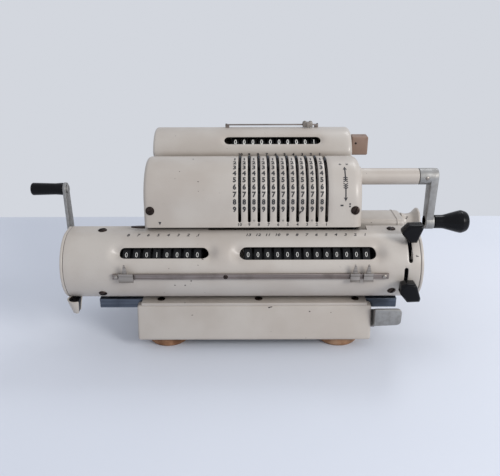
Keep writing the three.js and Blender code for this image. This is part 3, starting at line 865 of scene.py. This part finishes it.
def check_cover_points():
    low, high = span("check_cover")
    front = low.y
    points = [Vector((front + 0.2, 119.7)), Vector((front + 0.3, 128.7)), Vector((26.6, 133.0))]
    start, *controls = [Vector(p) for p in ((26.6, 133.0), (28.0, 139.6), (35.6, 148.4), (49.0, 148.4))]
    for i in range(1, 25):
        t = i / 24
        weights = ((1 - t) ** 3, 3 * (1 - t) ** 2 * t, 3 * (1 - t) * t * t, t**3)
        points.append(sum((p * w for p, w in zip([start] + controls, weights)), Vector((0, 0))))
    back = [Vector(p) for p in ((49.0, 148.4), (high.y, 148.4), (high.y, 136.0))]
    for i in range(1, 17):
        t = i / 16
        points.append(back[0] * (1 - t) ** 2 + back[1] * 2 * t * (1 - t) + back[2] * t * t)
    points += [Vector((high.y, 136.0 - (136.0 - low.z) * i / 6)) for i in range(1, 7)]
    return points


def make_check_cover():
    low, high = span("check_cover")
    points = check_cover_points()
    bend = Bend(points)
    axis = (CHECK.y, CHECK.z)
    window = bend.polar(axis, 136.2)
    half = 3.6
    rail_low, rail_high = span("check_marker_rail")
    hole = Hole((rail_low.x + half - 0.4, window), (rail_high.x - half + 0.4, window), half,
                (0.6, 0.9), (2.6, 3.6))
    notches = [Hole((x, -20), (x, 10.0), 1.15) for x in SLOT_X.values()]
    cover = Cover(points, low.x, high.x, (2.2, 3.6), [hole, *notches])
    mesh = cover.mesh(3.0, [(low.y + 0.3, low.z)], rings=(0.0, 0.3, 0.8, 1.6, 2.6, 3.8))
    piece("check_cover_shell", mesh, CREAM, "frame", ["check_cover"], thick=SHEET)

    figures = Print()
    for column, x in SLOT_X.items():
        figures.text(str(column), cover, x, 13.1, 2.6, bold=0.04)
    piece("check_cover_figures", figures.mesh, INK, "frame")

    rail = block((rail_low.x, rail_low.y, rail_high.z - 0.9), rail_high, 0.25)
    feet = [block((x - 1.6, rail_low.y, rail_low.z - 1.2), (x + 1.6, rail_high.y, rail_high.z - 0.3), 0.3)
            for x in (rail_low.x + 1.6, rail_high.x - 1.6)]
    piece("check_marker_bar", joined(rail, *feet), NICKEL, "frame", ["check_marker_rail"])
    for number, x in enumerate((rail_low.x + 0.85, rail_high.x - 0.8)):
        head = screw((x, (rail_low.y + rail_high.y) / 2, rail_high.z - 0.1), (0, 0, 1), 0.8, 40 * number, 0.6)
        piece(f"check_bar_screw_{number + 1}", head, SCREW, "frame")

    low, high = span("check_marker")
    clip = prism(rounded([
        (low.y, low.z, 0.3), (low.y, high.z, 0.7), (high.y, high.z, 0.7), (high.y, low.z, 0.3),
        (high.y - 0.8, low.z), (high.y - 0.8, high.z - 0.9, 0.3), (low.y + 0.8, high.z - 0.9, 0.3),
        (low.y + 0.8, low.z),
    ]), low.x, high.x, "x", 0.25)
    middle = (low.x + high.x) / 2
    heads = [
        rivet((x, (low.y + high.y) / 2, high.z - 0.1), (0, 0, 1), 1.5, 1.1)
        for x in (low.x + 1.7, high.x - 1.7)
    ]
    tongue = prism(rounded([(middle - 1.1, high.z - 0.4, 0.2), (middle + 1.1, high.z - 0.4, 0.2),
                            (middle + 0.35, low.z - 4.6, 0.2), (middle - 0.35, low.z - 4.6, 0.2)]),
                   low.y - 0.7, low.y + 0.1, "y", 0.15)
    piece("check_marker_clip", joined(clip, tongue, *heads), BRIGHT, "check_marker",
          ["check_marker"])


def make_rear():
    low, high = span("rear_cover")
    corner = 4
    plan = [Vector((low.x, low.y)), *arc((low.x + corner, high.y - corner), corner, 180, 90, 9),
            *arc((high.x - corner, high.y - corner), corner, 90, 0, 9), Vector((high.x, low.y))]
    mesh = bmesh.new()
    levels = [low.z + (high.z - low.z) * i / 4 for i in range(5)]
    rings = [[mesh.verts.new((p.x, p.y, z)) for p in plan] for z in levels]
    for below, above in zip(rings, rings[1:]):
        for i in range(len(plan) - 1):
            mesh.faces.new([below[i], below[i + 1], above[i + 1], above[i]])
    piece("rear_cover_shell", mesh, CREAM, "frame", ["rear_cover"], thick=SHEET)
    for number, (x, z) in enumerate([(-70, 44), (70, 44), (-70, 86), (70, 86)]):
        head = screw((x, high.y, z), (0, 1, 0), 2.7, 35 * number, 1.0)
        piece(f"rear_cover_screw_{number + 1}", head, SCREW, "frame")
    for side, x, way in (("left", low.x, -1), ("right", high.x, 1)):
        for level, z in enumerate((46, 84)):
            head = screw((x, 50, z), (way, 0, 0), 2.4, 60 * level, 0.8)
            piece(f"rear_{side}_screw_{level + 1}", head, SCREW, "frame")


def make_frames():
    for node in ("left_frame", "right_frame"):
        low, high = span(node)
        outline = rounded([
            (low.y + 13.2, low.z, 1.5), (high.y, low.z, 2), (high.y, 112, 4), (40, 112, 4), (22, 122, 6),
            (12, 133, 6), (-2, 136, 6), (-16, 131, 8), (-26, 119, 6), (low.y, 108, 5), (-26, 98, 3),
            (low.y + 13.2, 90, 3),
        ])
        plate = prism(outline, low.x, high.x, "x", 0.35)
        outer = low.x if node == "left_frame" else high.x
        way = -1 if node == "left_frame" else 1
        parts = [plate]
        if way < 0:
            boss = turned([(-1, 0), (-1, 6.5), (1.4, 6.5), (1.8, 6.0), (1.8, 0)])
            parts.append(stood(boss, (outer, DRUM.y, DRUM.z), (way, 0, 0)))
        piece(f"{node}_plate", joined(*parts), PLATE, "frame", [node])
        for number, (y, z) in enumerate([(-8, 44), (18, 44), (-8, 80), (18, 80)]):
            head = screw((outer, y, z), (way, 0, 0), 2.6, 30 + 45 * number, 0.8)
            piece(f"{node}_screw_{number + 1}", head, SCREW, "frame")


def make_levers():
    """Setting rings with a tab out of the slot. The units ring stands at 1, the others at 0."""
    tip, rim, bore = 30.9, 22, 13
    axis = (DRUM.y, DRUM.z)
    half = math.degrees(1.9 / (tip - 3))
    for column, x in SLOT_X.items():
        stand = ZERO_ANGLE + DIGIT_ANGLE * (1 if column == 1 else 0)
        outline = arc(axis, rim, stand - 179, stand - 7, 8)
        outline += [around(axis, tip - 3, stand - half), around(axis, tip - 1.2, stand - half)]
        outline += arc(around(axis, tip - 1.2, stand), 1.2, stand - 60, stand + 60, 20)
        outline += [around(axis, tip - 1.2, stand + half), around(axis, tip - 3, stand + half)]
        outline += arc(axis, rim, stand + 7, stand + 179, 8) + arc(axis, bore, stand + 179, stand - 179, 8)
        ring = prism(outline, x - 0.7, x + 0.7, "x", 0.15, 2)
        node = f"setting_lever_{column}"
        piece(f"{node}_ring", ring, PLATE, f"lever_{column}", [node])


def make_check_dials():
    rim = 0.5
    half = (span("check_dial_1")[1].x - span("check_dial_1")[0].x) / 2
    wheel = Wheel((CHECK.y, CHECK.z), CHECK_RADIUS)
    window = 132.0
    for column, x in DIAL_X.items():
        profile = rounded([(x - half, 3, 0.2), (x - half, CHECK_RADIUS, rim), (x + half, CHECK_RADIUS, rim),
                           (x + half, 3, 0.2)])
        body = f"dial_{column}"
        dial = turned(profile, (CHECK.y, CHECK.z))
        piece(f"check_dial_{column}_wheel", dial, WHEEL, body, [f"check_dial_{column}"])
        shown = 1 if column == 1 else 0
        figures = Print()
        for digit in range(10):
            place = wheel.polar(window - 36 * (digit - shown))
            figures.text(str(digit), wheel, x, place, 5.0, bold=0.02, narrow=0.66)
        piece(f"check_dial_{column}_figures", figures.mesh, WHITE_INK, body)

    low, high = span("check_dial_shaft")
    axis = (CHECK.y, CHECK.z)
    profile = rounded([(low.x - 0.4, 0), (low.x - 0.4, 3.6, 0.5), (-79.2, 3.6), (-79.2, 2.5),
                       (high.x, 2.5), (high.x, 0)], closed=False)
    shaft = turned(profile, axis)
    piece("check_dial_spindle", shaft, SCREW, "frame", ["check_dial_shaft"])

    low, high = span("clearing_knob")
    top = high.z - 2.4
    side = rounded([(low.y, low.z, 1.4), (high.y, low.z, 1.4), (high.y, top, 2.0), (low.y, top, 1.4)])
    knob = prism(side, low.x, high.x, "x", 1.1, 4)
    collar = turned([(low.x - 0.7, 0), (low.x - 0.7, 4.6), (low.x + 0.4, 4.6), (low.x + 0.4, 0)], axis)
    dimple = rivet((low.x + 3.2, low.y, (low.z + high.z) / 2 + 1.2), (0, -1, 0), 0.9, 0.35)
    piece("clearing_knob_cap", joined(knob, collar), BROWN, "clearing_knob",
          ["clearing_knob"])
    piece("clearing_knob_pin", dimple, SCREW, "clearing_knob")


# ---- Main crank ----

def make_crank():
    axis = (CRANK.y, CRANK.z)
    low, high = span("crank_sleeve")
    radius = (high.y - low.y) / 2
    corners = [(low.x, 4.6), (low.x, radius + 1.4, 0.7), (low.x + 2.2, radius + 1.4, 0.7),
               (low.x + 2.6, radius, 0.3), (high.x, radius, 0.7), (high.x, 4.6)]
    tube = turned(rounded(corners), axis, 64)
    piece("crank_tube", tube, CREAM, "frame", ["crank_sleeve"])

    grip_low, grip_high = span("crank_grip")
    grip_axis = ((grip_low.y + grip_high.y) / 2, (grip_low.z + grip_high.z) / 2)
    low, high = span("crank_arm")
    outer, inner = 140.7, 134.7
    hub = turned(rounded([(low.x, 0), (low.x, 6.3, 0.4), (outer, 6.3, 2.6), (outer, 0)], False), axis, 64)
    arm = link(axis, 6.2, grip_axis, 4.6, inner, outer, 0.7)
    boss = turned(rounded([(inner, 0), (inner, 5.7, 1.0), (outer + 1.2, 5.7, 0.8), (outer + 1.2, 0)], False),
                  grip_axis)
    spindle = turned([(outer, 0), (outer, 2), (high.x, 2), (high.x, 0)], grip_axis, 20)
    piece("crank_arm_forging", joined(hub, arm, boss, spindle), GREY, "crank", ["crank_arm"])
    pin = rivet((131.6, CRANK.y - 6.25, CRANK.z + 0.2), (0, -1, 0.05), 1.5, 0.5)
    piece("crank_taper_pin", pin, BRIGHT, "crank")

    start, end = outer + 1.5, grip_high.x
    corners = [(start, 2.4), (start, 5.3, 0.7), (start + 7, 5.3, 14), (end - 9.5, 8.3, 14),
               (end - 6.0, 9.1, 3.0), (end - 1.2, 7.6, 4.5), (end, 4.4, 1.2), (end, 3.0), (end - 1.0, 2.6),
               (end - 1.0, 2.4)]
    handle = turned(rounded(corners, step=8), grip_axis, 64)
    piece("crank_grip_handle", handle, BLACK, "crank_grip", ["crank_grip"])
    head = screw((end - 0.9, *grip_axis), (1, 0, 0), 2.3, 30, 0.7)
    piece("crank_grip_screw", head, BRIGHT, "crank")

    low, high = span("crank_rest")
    wide = (high.y - low.y) / 2
    corners = [(low.x - 0.8, 0), (low.x - 0.8, 7.4, 0.6), (low.x + 2.5, 6.4, 2.5), (low.x + 7.2, 7.0, 5),
               (high.x - 1.8, wide, 0.7), (high.x - 0.3, wide, 0.5), (high.x - 0.9, 8.6, 1.2),
               (high.x - 4.2, 5.0, 2), (high.x - 4.4, 0)]
    rest = turned(rounded(corners, False, 10), grip_axis, 64)
    piece("crank_rest_cup", rest, CREAM, "frame", ["crank_rest"])

    low, high = span("gear_case")
    sides = [(low.y, low.z), (high.y, low.z), (high.y, high.z), (low.y, high.z)]
    radii = (3.5, 3.5, 18, 3.5)
    case_side = rounded([(*side, radius) for side, radius in zip(sides, radii)], step=10)
    case = prism(case_side, HOUSING_RIGHT, high.x, "x", 2.5, 4)
    seam = prism(inset(case_side, -0.5), high.x - 6.5, high.x - 5.3, "x", 0.4)
    piece("gear_case_shell", joined(case, seam), CREAM, "frame", ["gear_case"])
    spots = [(low.y + 6, low.z + 6), (high.y - 6, low.z + 6), (low.y + 6, high.z - 6)]
    for number, (y, z) in enumerate(spots):
        head = screw((high.x, y, z), (1, 0, 0), 2.6, 50 * number, 0.9)
        piece(f"gear_case_screw_{number + 1}", head, SCREW, "frame")


# ---- Carriage ----

def carriage_section():
    """The carriage's side view, from its lower back edge round the front to the flat top's back edge."""
    axis, radius = CARRIAGE_AXIS, CARRIAGE_RADIUS
    front = arc(axis, radius, 270, CREASE_ANGLE, 1.5)
    edge = front[-1]
    top = Vector((TOP_BACK, axis[1] + radius - 0.1))
    return [Vector((BED_BACK, front[0].y)), *front, edge.lerp(top, 0.02), edge.lerp(top, 0.5), top]


def make_carriage():
    low, high = span("carriage_cover")
    bend = Bend(carriage_section())

    def along(degrees):
        return bend.polar(CARRIAGE_AXIS, degrees)

    left_half, right_half = 4.2, 4.9
    left_middle, right_middle = along(139.4), along(140.3)
    dish_falls, dish_reaches = (0.9, 3.8), (5.0, 8.8)
    holes = [
        Hole((-95.4 + left_half, left_middle), (-31.8 - left_half, left_middle), left_half,
             dish_falls, dish_reaches),
        Hole((-9.9 + right_half, right_middle), (87.6 - right_half, right_middle), right_half,
             dish_falls, dish_reaches),
        Hole((111.2, along(154)), (111.2, along(106)), 1.4),
        Hole((108.2, along(-168)), (108.2, along(-192)), 1.4),
    ]
    cut = bend.length - (TOP_BACK - CUT_BACK)
    cover = Cover(carriage_section(), low.x, high.x, (0.4, 0.4), holes)
    cover.notches = [(-33.0, 83.5, cut), (113.0, high.x, cut)]
    piece("carriage_shell", cover.mesh(3.2, []), CREAM, "carriage", ["carriage_cover"],
          thick=SHEET)

    figures = Print()
    result, counter = span("result_dials"), span("counter_dials")
    for stack, count, degrees in ((result, 13, 104.6), (counter, 8, 104.6)):
        pitch = (stack[1].x - stack[0].x - 5.6) / (count - 1)
        for i in range(count):
            x = stack[0].x + 2.8 + pitch * i
            figures.text(str(count - i), cover, x, along(degrees), 2.9, lean=0.25, bold=0.035)
    piece("carriage_figures", figures.mesh, INK, "carriage")

    top = bend.length
    spots = [(-110.4, top - 7.7, 40, 3.2, SCREW), (101.3, top - 6.3, 75, 3.2, SCREW)]
    spots += [(-109.3, along(-143.3), 20, 3.0, SCREW), (99.7, along(-150.3), 65, 3.0, SCREW)]
    for number, (x, place, turn, radius, finish) in enumerate(spots):
        head = screw(cover.at(x, place, 0.02), cover.facing(place), radius, turn, 1.1)
        piece(f"carriage_screw_{number + 1}", head, finish, "carriage")

    section = bend.points
    for node, soft_end in (("carriage_left_cap", -1), ("carriage_right_cap", 1)):
        cap_low, cap_high = span(node)
        cap = prism(section, cap_low.x, cap_high.x, "x", 0.55)
        piece(f"{node}_plate", cap, CREAM, "carriage", [node])
        for number, degrees in enumerate((110, 180, 250)):
            spot = around(CARRIAGE_AXIS, CARRIAGE_RADIUS - 4.5, degrees)
            x = cap_low.x if soft_end < 0 else cap_high.x
            head = screw((x, *spot), (soft_end, 0, 0), 2.2, 35 * number, 0.7)
            piece(f"{node}_screw_{number + 1}", head, SCREW, "carriage")

    floor_z = low.z + SHEET + 0.4
    behind = block((98.0, -30.4, floor_z), (high.x - 0.4, -29.4, high.z - SHEET - 0.4), 0.3)
    piece("carriage_key_shield", behind, PLATE, "carriage")
    for name, x0, x1 in (("left", low.x + 0.5, -34.0), ("right", 84.0, 112.6)):
        wall = block((x0, TOP_BACK - 2.2, floor_z), (x1, TOP_BACK - 1.2, high.z - SHEET - 0.4), 0.3)
        piece(f"carriage_{name}_back", wall, PLATE, "carriage")

    bed_low, bed_high = span("carriage_bed")
    # The bed bar gets the dark plate finish as painted shade: seen as a thin line above the rail, it stands
    # for the shadow gap under the carriage.
    bed = block((bed_low.x + 0.5, -30.6, 38.1), (bed_high.x, -24, 39.9), 0.5, 0.7)
    lip_low, lip_high = 33.0, 44.2
    hold = Vector((bed_low.x + 6.4, -47.4))
    lip = prism(arc(hold, 6.4, 60, 300, 12) + arc(hold, 5.4, 300, 60, 12), lip_low, lip_high, "z", 0.3)
    # The black phenolic fill inside the finger lip is painted shade: it stands for the shadow in the lip's
    # hollow.
    painted_shade_hollow = prism(arc(hold, 5.1, 60, 300, 12), lip_low + 0.6, lip_high - 0.3, "z", 0.2)
    for vert in lip.verts[:] + painted_shade_hollow.verts[:]:
        depth = (lip_high - vert.co.z) / (lip_high - lip_low)
        vert.co.x = hold.x + (vert.co.x - hold.x) * (1 - 0.5 * depth * depth)
        vert.co.y = hold.y + (vert.co.y - hold.y) * (1 - 0.5 * depth * depth)
    piece("carriage_bed_bar", bed, PLATE, "carriage", ["carriage_bed"])
    piece("carriage_finger_lip", lip, CREAM, "carriage")
    piece("carriage_lip_lining", painted_shade_hollow, BLACK, "carriage")


def make_number_wheels():
    axis = (DIALS.y, DIALS.z)
    wheel = Wheel(axis, WHEEL_RADIUS)
    for node, count, turned_one in (("result_dials", 13, None), ("counter_dials", 8, 3)):
        low, high = span(node)
        pitch = (high.x - low.x - 5.6) / (count - 1)
        profile = [(low.x + 0.2, 6)]
        for i in range(count):
            x = low.x + 2.8 + pitch * i
            for side, reach in ((-2.8, -0.5), (-2.5, 0.0), (2.5, 0.0), (2.8, -0.5)):
                profile.append((x + side, WHEEL_RADIUS + reach))
            if i < count - 1:
                profile += [(x + 2.85, WHEEL_RADIUS - 3), (x + pitch - 2.85, WHEEL_RADIUS - 3)]
        profile.append((high.x - 0.2, 6))
        piece(f"{node}_wheels", turned(profile, axis, 80), WHEEL, node, [node])
        figures = Print()
        for i in range(count):
            x = low.x + 2.8 + pitch * i
            shown = 1 if i == turned_one else 0
            for digit in range(10):
                place = wheel.polar(138.5 - 36 * (digit - shown))
                figures.text(str(digit), wheel, x, place, 3.9, bold=0.0, narrow=0.8)
        piece(f"{node}_figures", figures.mesh, PALE_INK, node)
    high = span("dial_shaft")[1]
    end = screw((high.x - 0.1, *axis), (1, 0, 0), 2.6, 30, 0.6)
    piece("dial_shaft_screw", end, SCREW, "dial_shaft")


def make_markers():
    low, high = span("marker_rail")
    front = low.y
    side = rounded([(front, low.z, 0.3), (high.y, low.z, 0.2), (high.y, high.z, 0.2), (front, high.z, 0.3),
                    (front, high.z - 1.3), (front + 0.3, high.z - 1.5), (front + 0.3, low.z + 1.5),
                    (front, low.z + 1.3)])
    strip = prism(side, low.x, high.x, "x", 0.25)
    piece("marker_rail_strip", strip, NICKEL, "carriage", ["marker_rail"])
    middle = (low.z + high.z) / 2
    ends = [rivet((x, front + 0.1, middle), (0, -1, 0), 1.7, 1.0) for x in (-96.9, 92.6)]
    piece("marker_rail_rivets", joined(*ends), BRIGHT, "carriage")
    head = screw((-19.6, front + 0.2, middle), (0, -1, 0), 1.7, 80, 0.5)
    piece("marker_rail_screw", head, SCREW, "carriage")

    foot, top, back = 63.7, 70.3, -60.1
    for node, fin in (("counter_marker", -90.3), ("result_marker_left", 71.4), ("result_marker_right", 80.8)):
        low, high = span(node)
        clip_side = rounded([
            (low.y, foot, 0.5), (low.y, top, 0.5), (back, top, 0.3), (back, top - 0.9),
            (low.y + 0.9, top - 0.9), (low.y + 0.9, foot + 0.9), (back, foot + 0.9), (back, foot, 0.3),
        ])
        clip = prism(clip_side, low.x + 1.2, high.x - 1.0, "x", 0.3)
        blade_front = rounded([(fin - 2.3, 68.6), (fin + 2.3, 68.6), (fin + 0.5, high.z, 0.4),
                               (fin - 0.5, high.z, 0.4)])
        blade = prism(blade_front, low.y - 0.05, low.y + 0.9, "y", 0.2)
        rib = link((low.y + 0.4, 69.2), 0.6, (low.y + 0.6, high.z - 0.9), 0.5, fin - 0.5, fin + 0.5, 0.2)
        piece(f"{node}_slider", joined(clip, blade, rib), BRIGHT, node, [node])


def knob_shape(outline, front, back):
    """A moulded key with a faceted front: its outline in x and z, between two places in y."""
    mesh = bmesh.new()
    middle = sum((Vector(p) for p in outline), Vector((0, 0))) / len(outline)
    for y, share in ((front, 0.8), (front + 1.2, 1.0), (back - 0.8, 1.0), (back, 0.86)):
        for point in outline:
            spot = middle.lerp(Vector(point), share)
            mesh.verts.new((spot.x, y, spot.y))
    bmesh.ops.convex_hull(mesh, input=mesh.verts)
    bmesh.ops.dissolve_limit(mesh, angle_limit=math.radians(3), verts=mesh.verts, edges=mesh.edges)
    loose = [vert for vert in mesh.verts if not vert.link_faces]
    bmesh.ops.delete(mesh, geom=loose, context="VERTS")
    bmesh.ops.bevel(mesh, geom=mesh.edges[:], offset=0.45, segments=3, profile=0.5, affect="EDGES",
                    clamp_overlap=True)
    return mesh


def make_keys():
    upper = [(108.7, 101.7), (118.6, 102.0), (118.8, 99.2), (115.2, 88.6), (109.9, 88.6), (104.6, 94.7),
             (104.3, 96.9)]
    lower = [(102.8, 61.9), (106.2, 63.3), (112.3, 63.0), (113.8, 61.0), (117.0, 51.7), (116.6, 49.2),
             (107.8, 48.8), (102.5, 55.2)]
    for node, outline, degrees, stem, body in (
        ("upper_key", upper, 117, (110.2, 112.2), "upper_key"),
        ("lower_key", lower, 193, (107.2, 109.2), "lower_key"),
    ):
        centre = around(CARRIAGE_AXIS, 33.5, degrees)
        front, back = centre.x - 4.6, centre.x + 4.2
        lift = centre.y - (max(z for _, z in outline) + min(z for _, z in outline)) / 2
        knob = knob_shape([(x, z + lift) for x, z in outline], front, back)
        inner = around(CARRIAGE_AXIS, 20, degrees)
        arm = link(inner, 2.4, centre, 2.0, stem[0], stem[1], 0.3)
        piece(f"{node}_button", knob, BLACK, body, [node])
        piece(f"{node}_stem", arm, PLATE, body)


def make_clearing_crank():
    low, high = span("clearing_arm")
    axis = (CLEARING.y, CLEARING.z)
    grip_low, grip_high = span("clearing_grip")
    grip_axis = ((grip_low.y + grip_high.y) / 2, (grip_low.z + grip_high.z) / 2)
    left, right = -140.4, -138.0
    arm = link(axis, 6.0, grip_axis, 4.8, left, right, 0.5)
    hub = turned(rounded([(left - 1.2, 0), (left - 1.2, 4.2, 0.6), (high.x, 4.2), (high.x, 0)], False), axis)
    end = turned(rounded([(low.x - 0.3, 0), (low.x - 0.3, 1.8), (right, 1.8), (right, 3.4, 0.4),
                          (right + 0.9, 3.0, 0.3), (right + 0.9, 0)], False), grip_axis, 24)
    piece("clearing_arm_plate", joined(arm, hub, end), GREY, "clearing_crank", ["clearing_arm"])
    head = screw((left - 1.2, *axis), (-1, 0, 0), 2.8, 20, 0.8)
    piece("clearing_arm_screw", head, SCREW, "clearing_crank")
    corners = [(grip_low.x, 1.9), (grip_low.x, 4.7, 1.6), (grip_high.x - 6, 4.2, 20), (grip_high.x, 4.6, 0.6),
               (grip_high.x, 1.9)]
    handle = turned(rounded(corners, step=8), grip_axis, 64)
    piece("clearing_grip_handle", handle, BLACK, "clearing_grip", ["clearing_grip"])


def make_shift_lever():
    pad_right = span("shift_lever")[1].x
    arm_x = (90.0, 92.5)
    front, pad_top = -51.0, 35.9
    side = rounded([(SHIFT.y + 5.5, SHIFT.z - 3, 4), (SHIFT.y + 5.5, SHIFT.z + 5, 4), (front + 1.0, 36, 2),
                    (front + 1.0, 22.5, 2), (SHIFT.y - 3, SHIFT.z - 6, 3)])
    arm = prism(side, *arm_x, "x", 0.4)
    pad_side = rounded([(arm_x[0], 21.5, 1.0), (pad_right, 22.5, 3.5), (pad_right, pad_top, 3.5),
                        (arm_x[0], pad_top, 1.0)])
    pad = prism(pad_side, front, front + 2.2, "y", 0.7)
    piece("shift_lever_plate", joined(arm, pad), GREY, "shift_lever", ["shift_lever"])
    head = screw((arm_x[1], SHIFT.y, SHIFT.z), (1, 0, 0), 3.2, 35, 0.9)
    piece("shift_lever_screw", head, SCREW, "frame")


def finish_inside():
    """The parts that stay as they are get the same finishes."""
    for node in frame["nodes"].values():
        for place in node.material_slots:
            name = place.material.name.split(".")[0] if place.material else ""
            place.material = SLOT_FINISH.get(name, PLATE)


# ---- Table, light and camera ----

def table_top(name):
    finish = Finish(name, Specular_IOR_Level=0.2)
    cloud = finish.noise(2.2, 3)
    shade = finish.between(cloud, 0.3, 0.7)
    finish.set("Base Color", finish.blend(colour(219, 222, 230), colour(213, 217, 226), shade))
    finish.set("Roughness", finish.between(cloud, 0.3, 0.7, 0.65, 0.8))
    finish.relief(finish.noise(400, 3), 0.00005, 0.3)
    return finish.material


def stage():
    left, right, front, back, drop = -1.6, 1.6, -1.0, 0.236, 0.02
    mesh = bmesh.new()
    bmesh.ops.create_cube(mesh, size=1.0)
    size = Matrix.Diagonal((right - left, back - front, drop, 1))
    middle = Matrix.Translation(((left + right) / 2, (front + back) / 2, -drop / 2))
    bmesh.ops.transform(mesh, matrix=middle @ size, verts=mesh.verts)
    bmesh.ops.bevel(mesh, geom=mesh.edges[:], offset=0.004, segments=3, affect="EDGES")
    data = bpy.data.meshes.new("table_top")
    mesh.to_mesh(data)
    mesh.free()
    data.materials.append(table_top("table_laminate"))
    table = bpy.data.objects.new("table_top", data)
    bpy.context.scene.collection.objects.link(table)


def lamp(name, at, toward, size, watts, tint):
    light = bpy.data.lights.new(name, "AREA")
    light.shape = "DISK"
    light.size = size
    light.energy = watts
    light.color = tint
    holder = bpy.data.objects.new(name, light)
    holder.location = at
    holder.rotation_euler = (Vector(at) - Vector(toward)).to_track_quat("Z", "Y").to_euler()
    bpy.context.scene.collection.objects.link(holder)


def light_up():
    world = bpy.data.worlds.new("studio")
    world.use_nodes = True
    sky = world.node_tree.nodes["Background"]
    sky.inputs["Color"].default_value = colour(233, 237, 245)
    sky.inputs["Strength"].default_value = 0.8
    bpy.context.scene.world = world
    bpy.context.scene.view_settings.view_transform = "Standard"
    target = (0, 0, 0.08)
    lamp("key_light", (0.85, -0.75, 0.62), target, 0.45, 8.5, (1.0, 0.985, 0.96))
    lamp("top_light", (0.45, 0.55, 1.0), target, 0.4, 2.2, (0.96, 0.98, 1.0))


def aim_camera():
    eye = Vector((-0.004666, -0.425937, 0.256854))
    yaw, pitch, roll = (math.radians(a) for a in (-0.033, 23.418, -0.168))
    forward = Vector((math.sin(yaw) * math.cos(pitch), math.cos(yaw) * math.cos(pitch), -math.sin(pitch)))
    right = Vector((math.cos(yaw), -math.sin(yaw), 0))
    up = right.cross(forward)
    tilted_right = math.cos(roll) * right + math.sin(roll) * up
    tilted_up = -math.sin(roll) * right + math.cos(roll) * up
    camera = bpy.data.cameras.new("front_camera")
    camera.sensor_width = 36
    camera.lens = 42.33
    camera.clip_start = 0.01
    holder = bpy.data.objects.new("front_camera", camera)
    aim = Matrix((tilted_right, tilted_up, -forward)).transposed().to_4x4()
    holder.matrix_world = Matrix.Translation(eye) @ aim
    bpy.context.scene.collection.objects.link(holder)
    bpy.context.scene.camera = holder


def main():
    make_base()
    make_feet()
    make_drum_cover()
    make_check_cover()
    make_rear()
    make_frames()
    make_levers()
    make_check_dials()
    make_crank()
    make_carriage()
    make_number_wheels()
    make_markers()
    make_keys()
    make_clearing_crank()
    make_shift_lever()
    finish_inside()
    stage()
    light_up()
    aim_camera()


main()
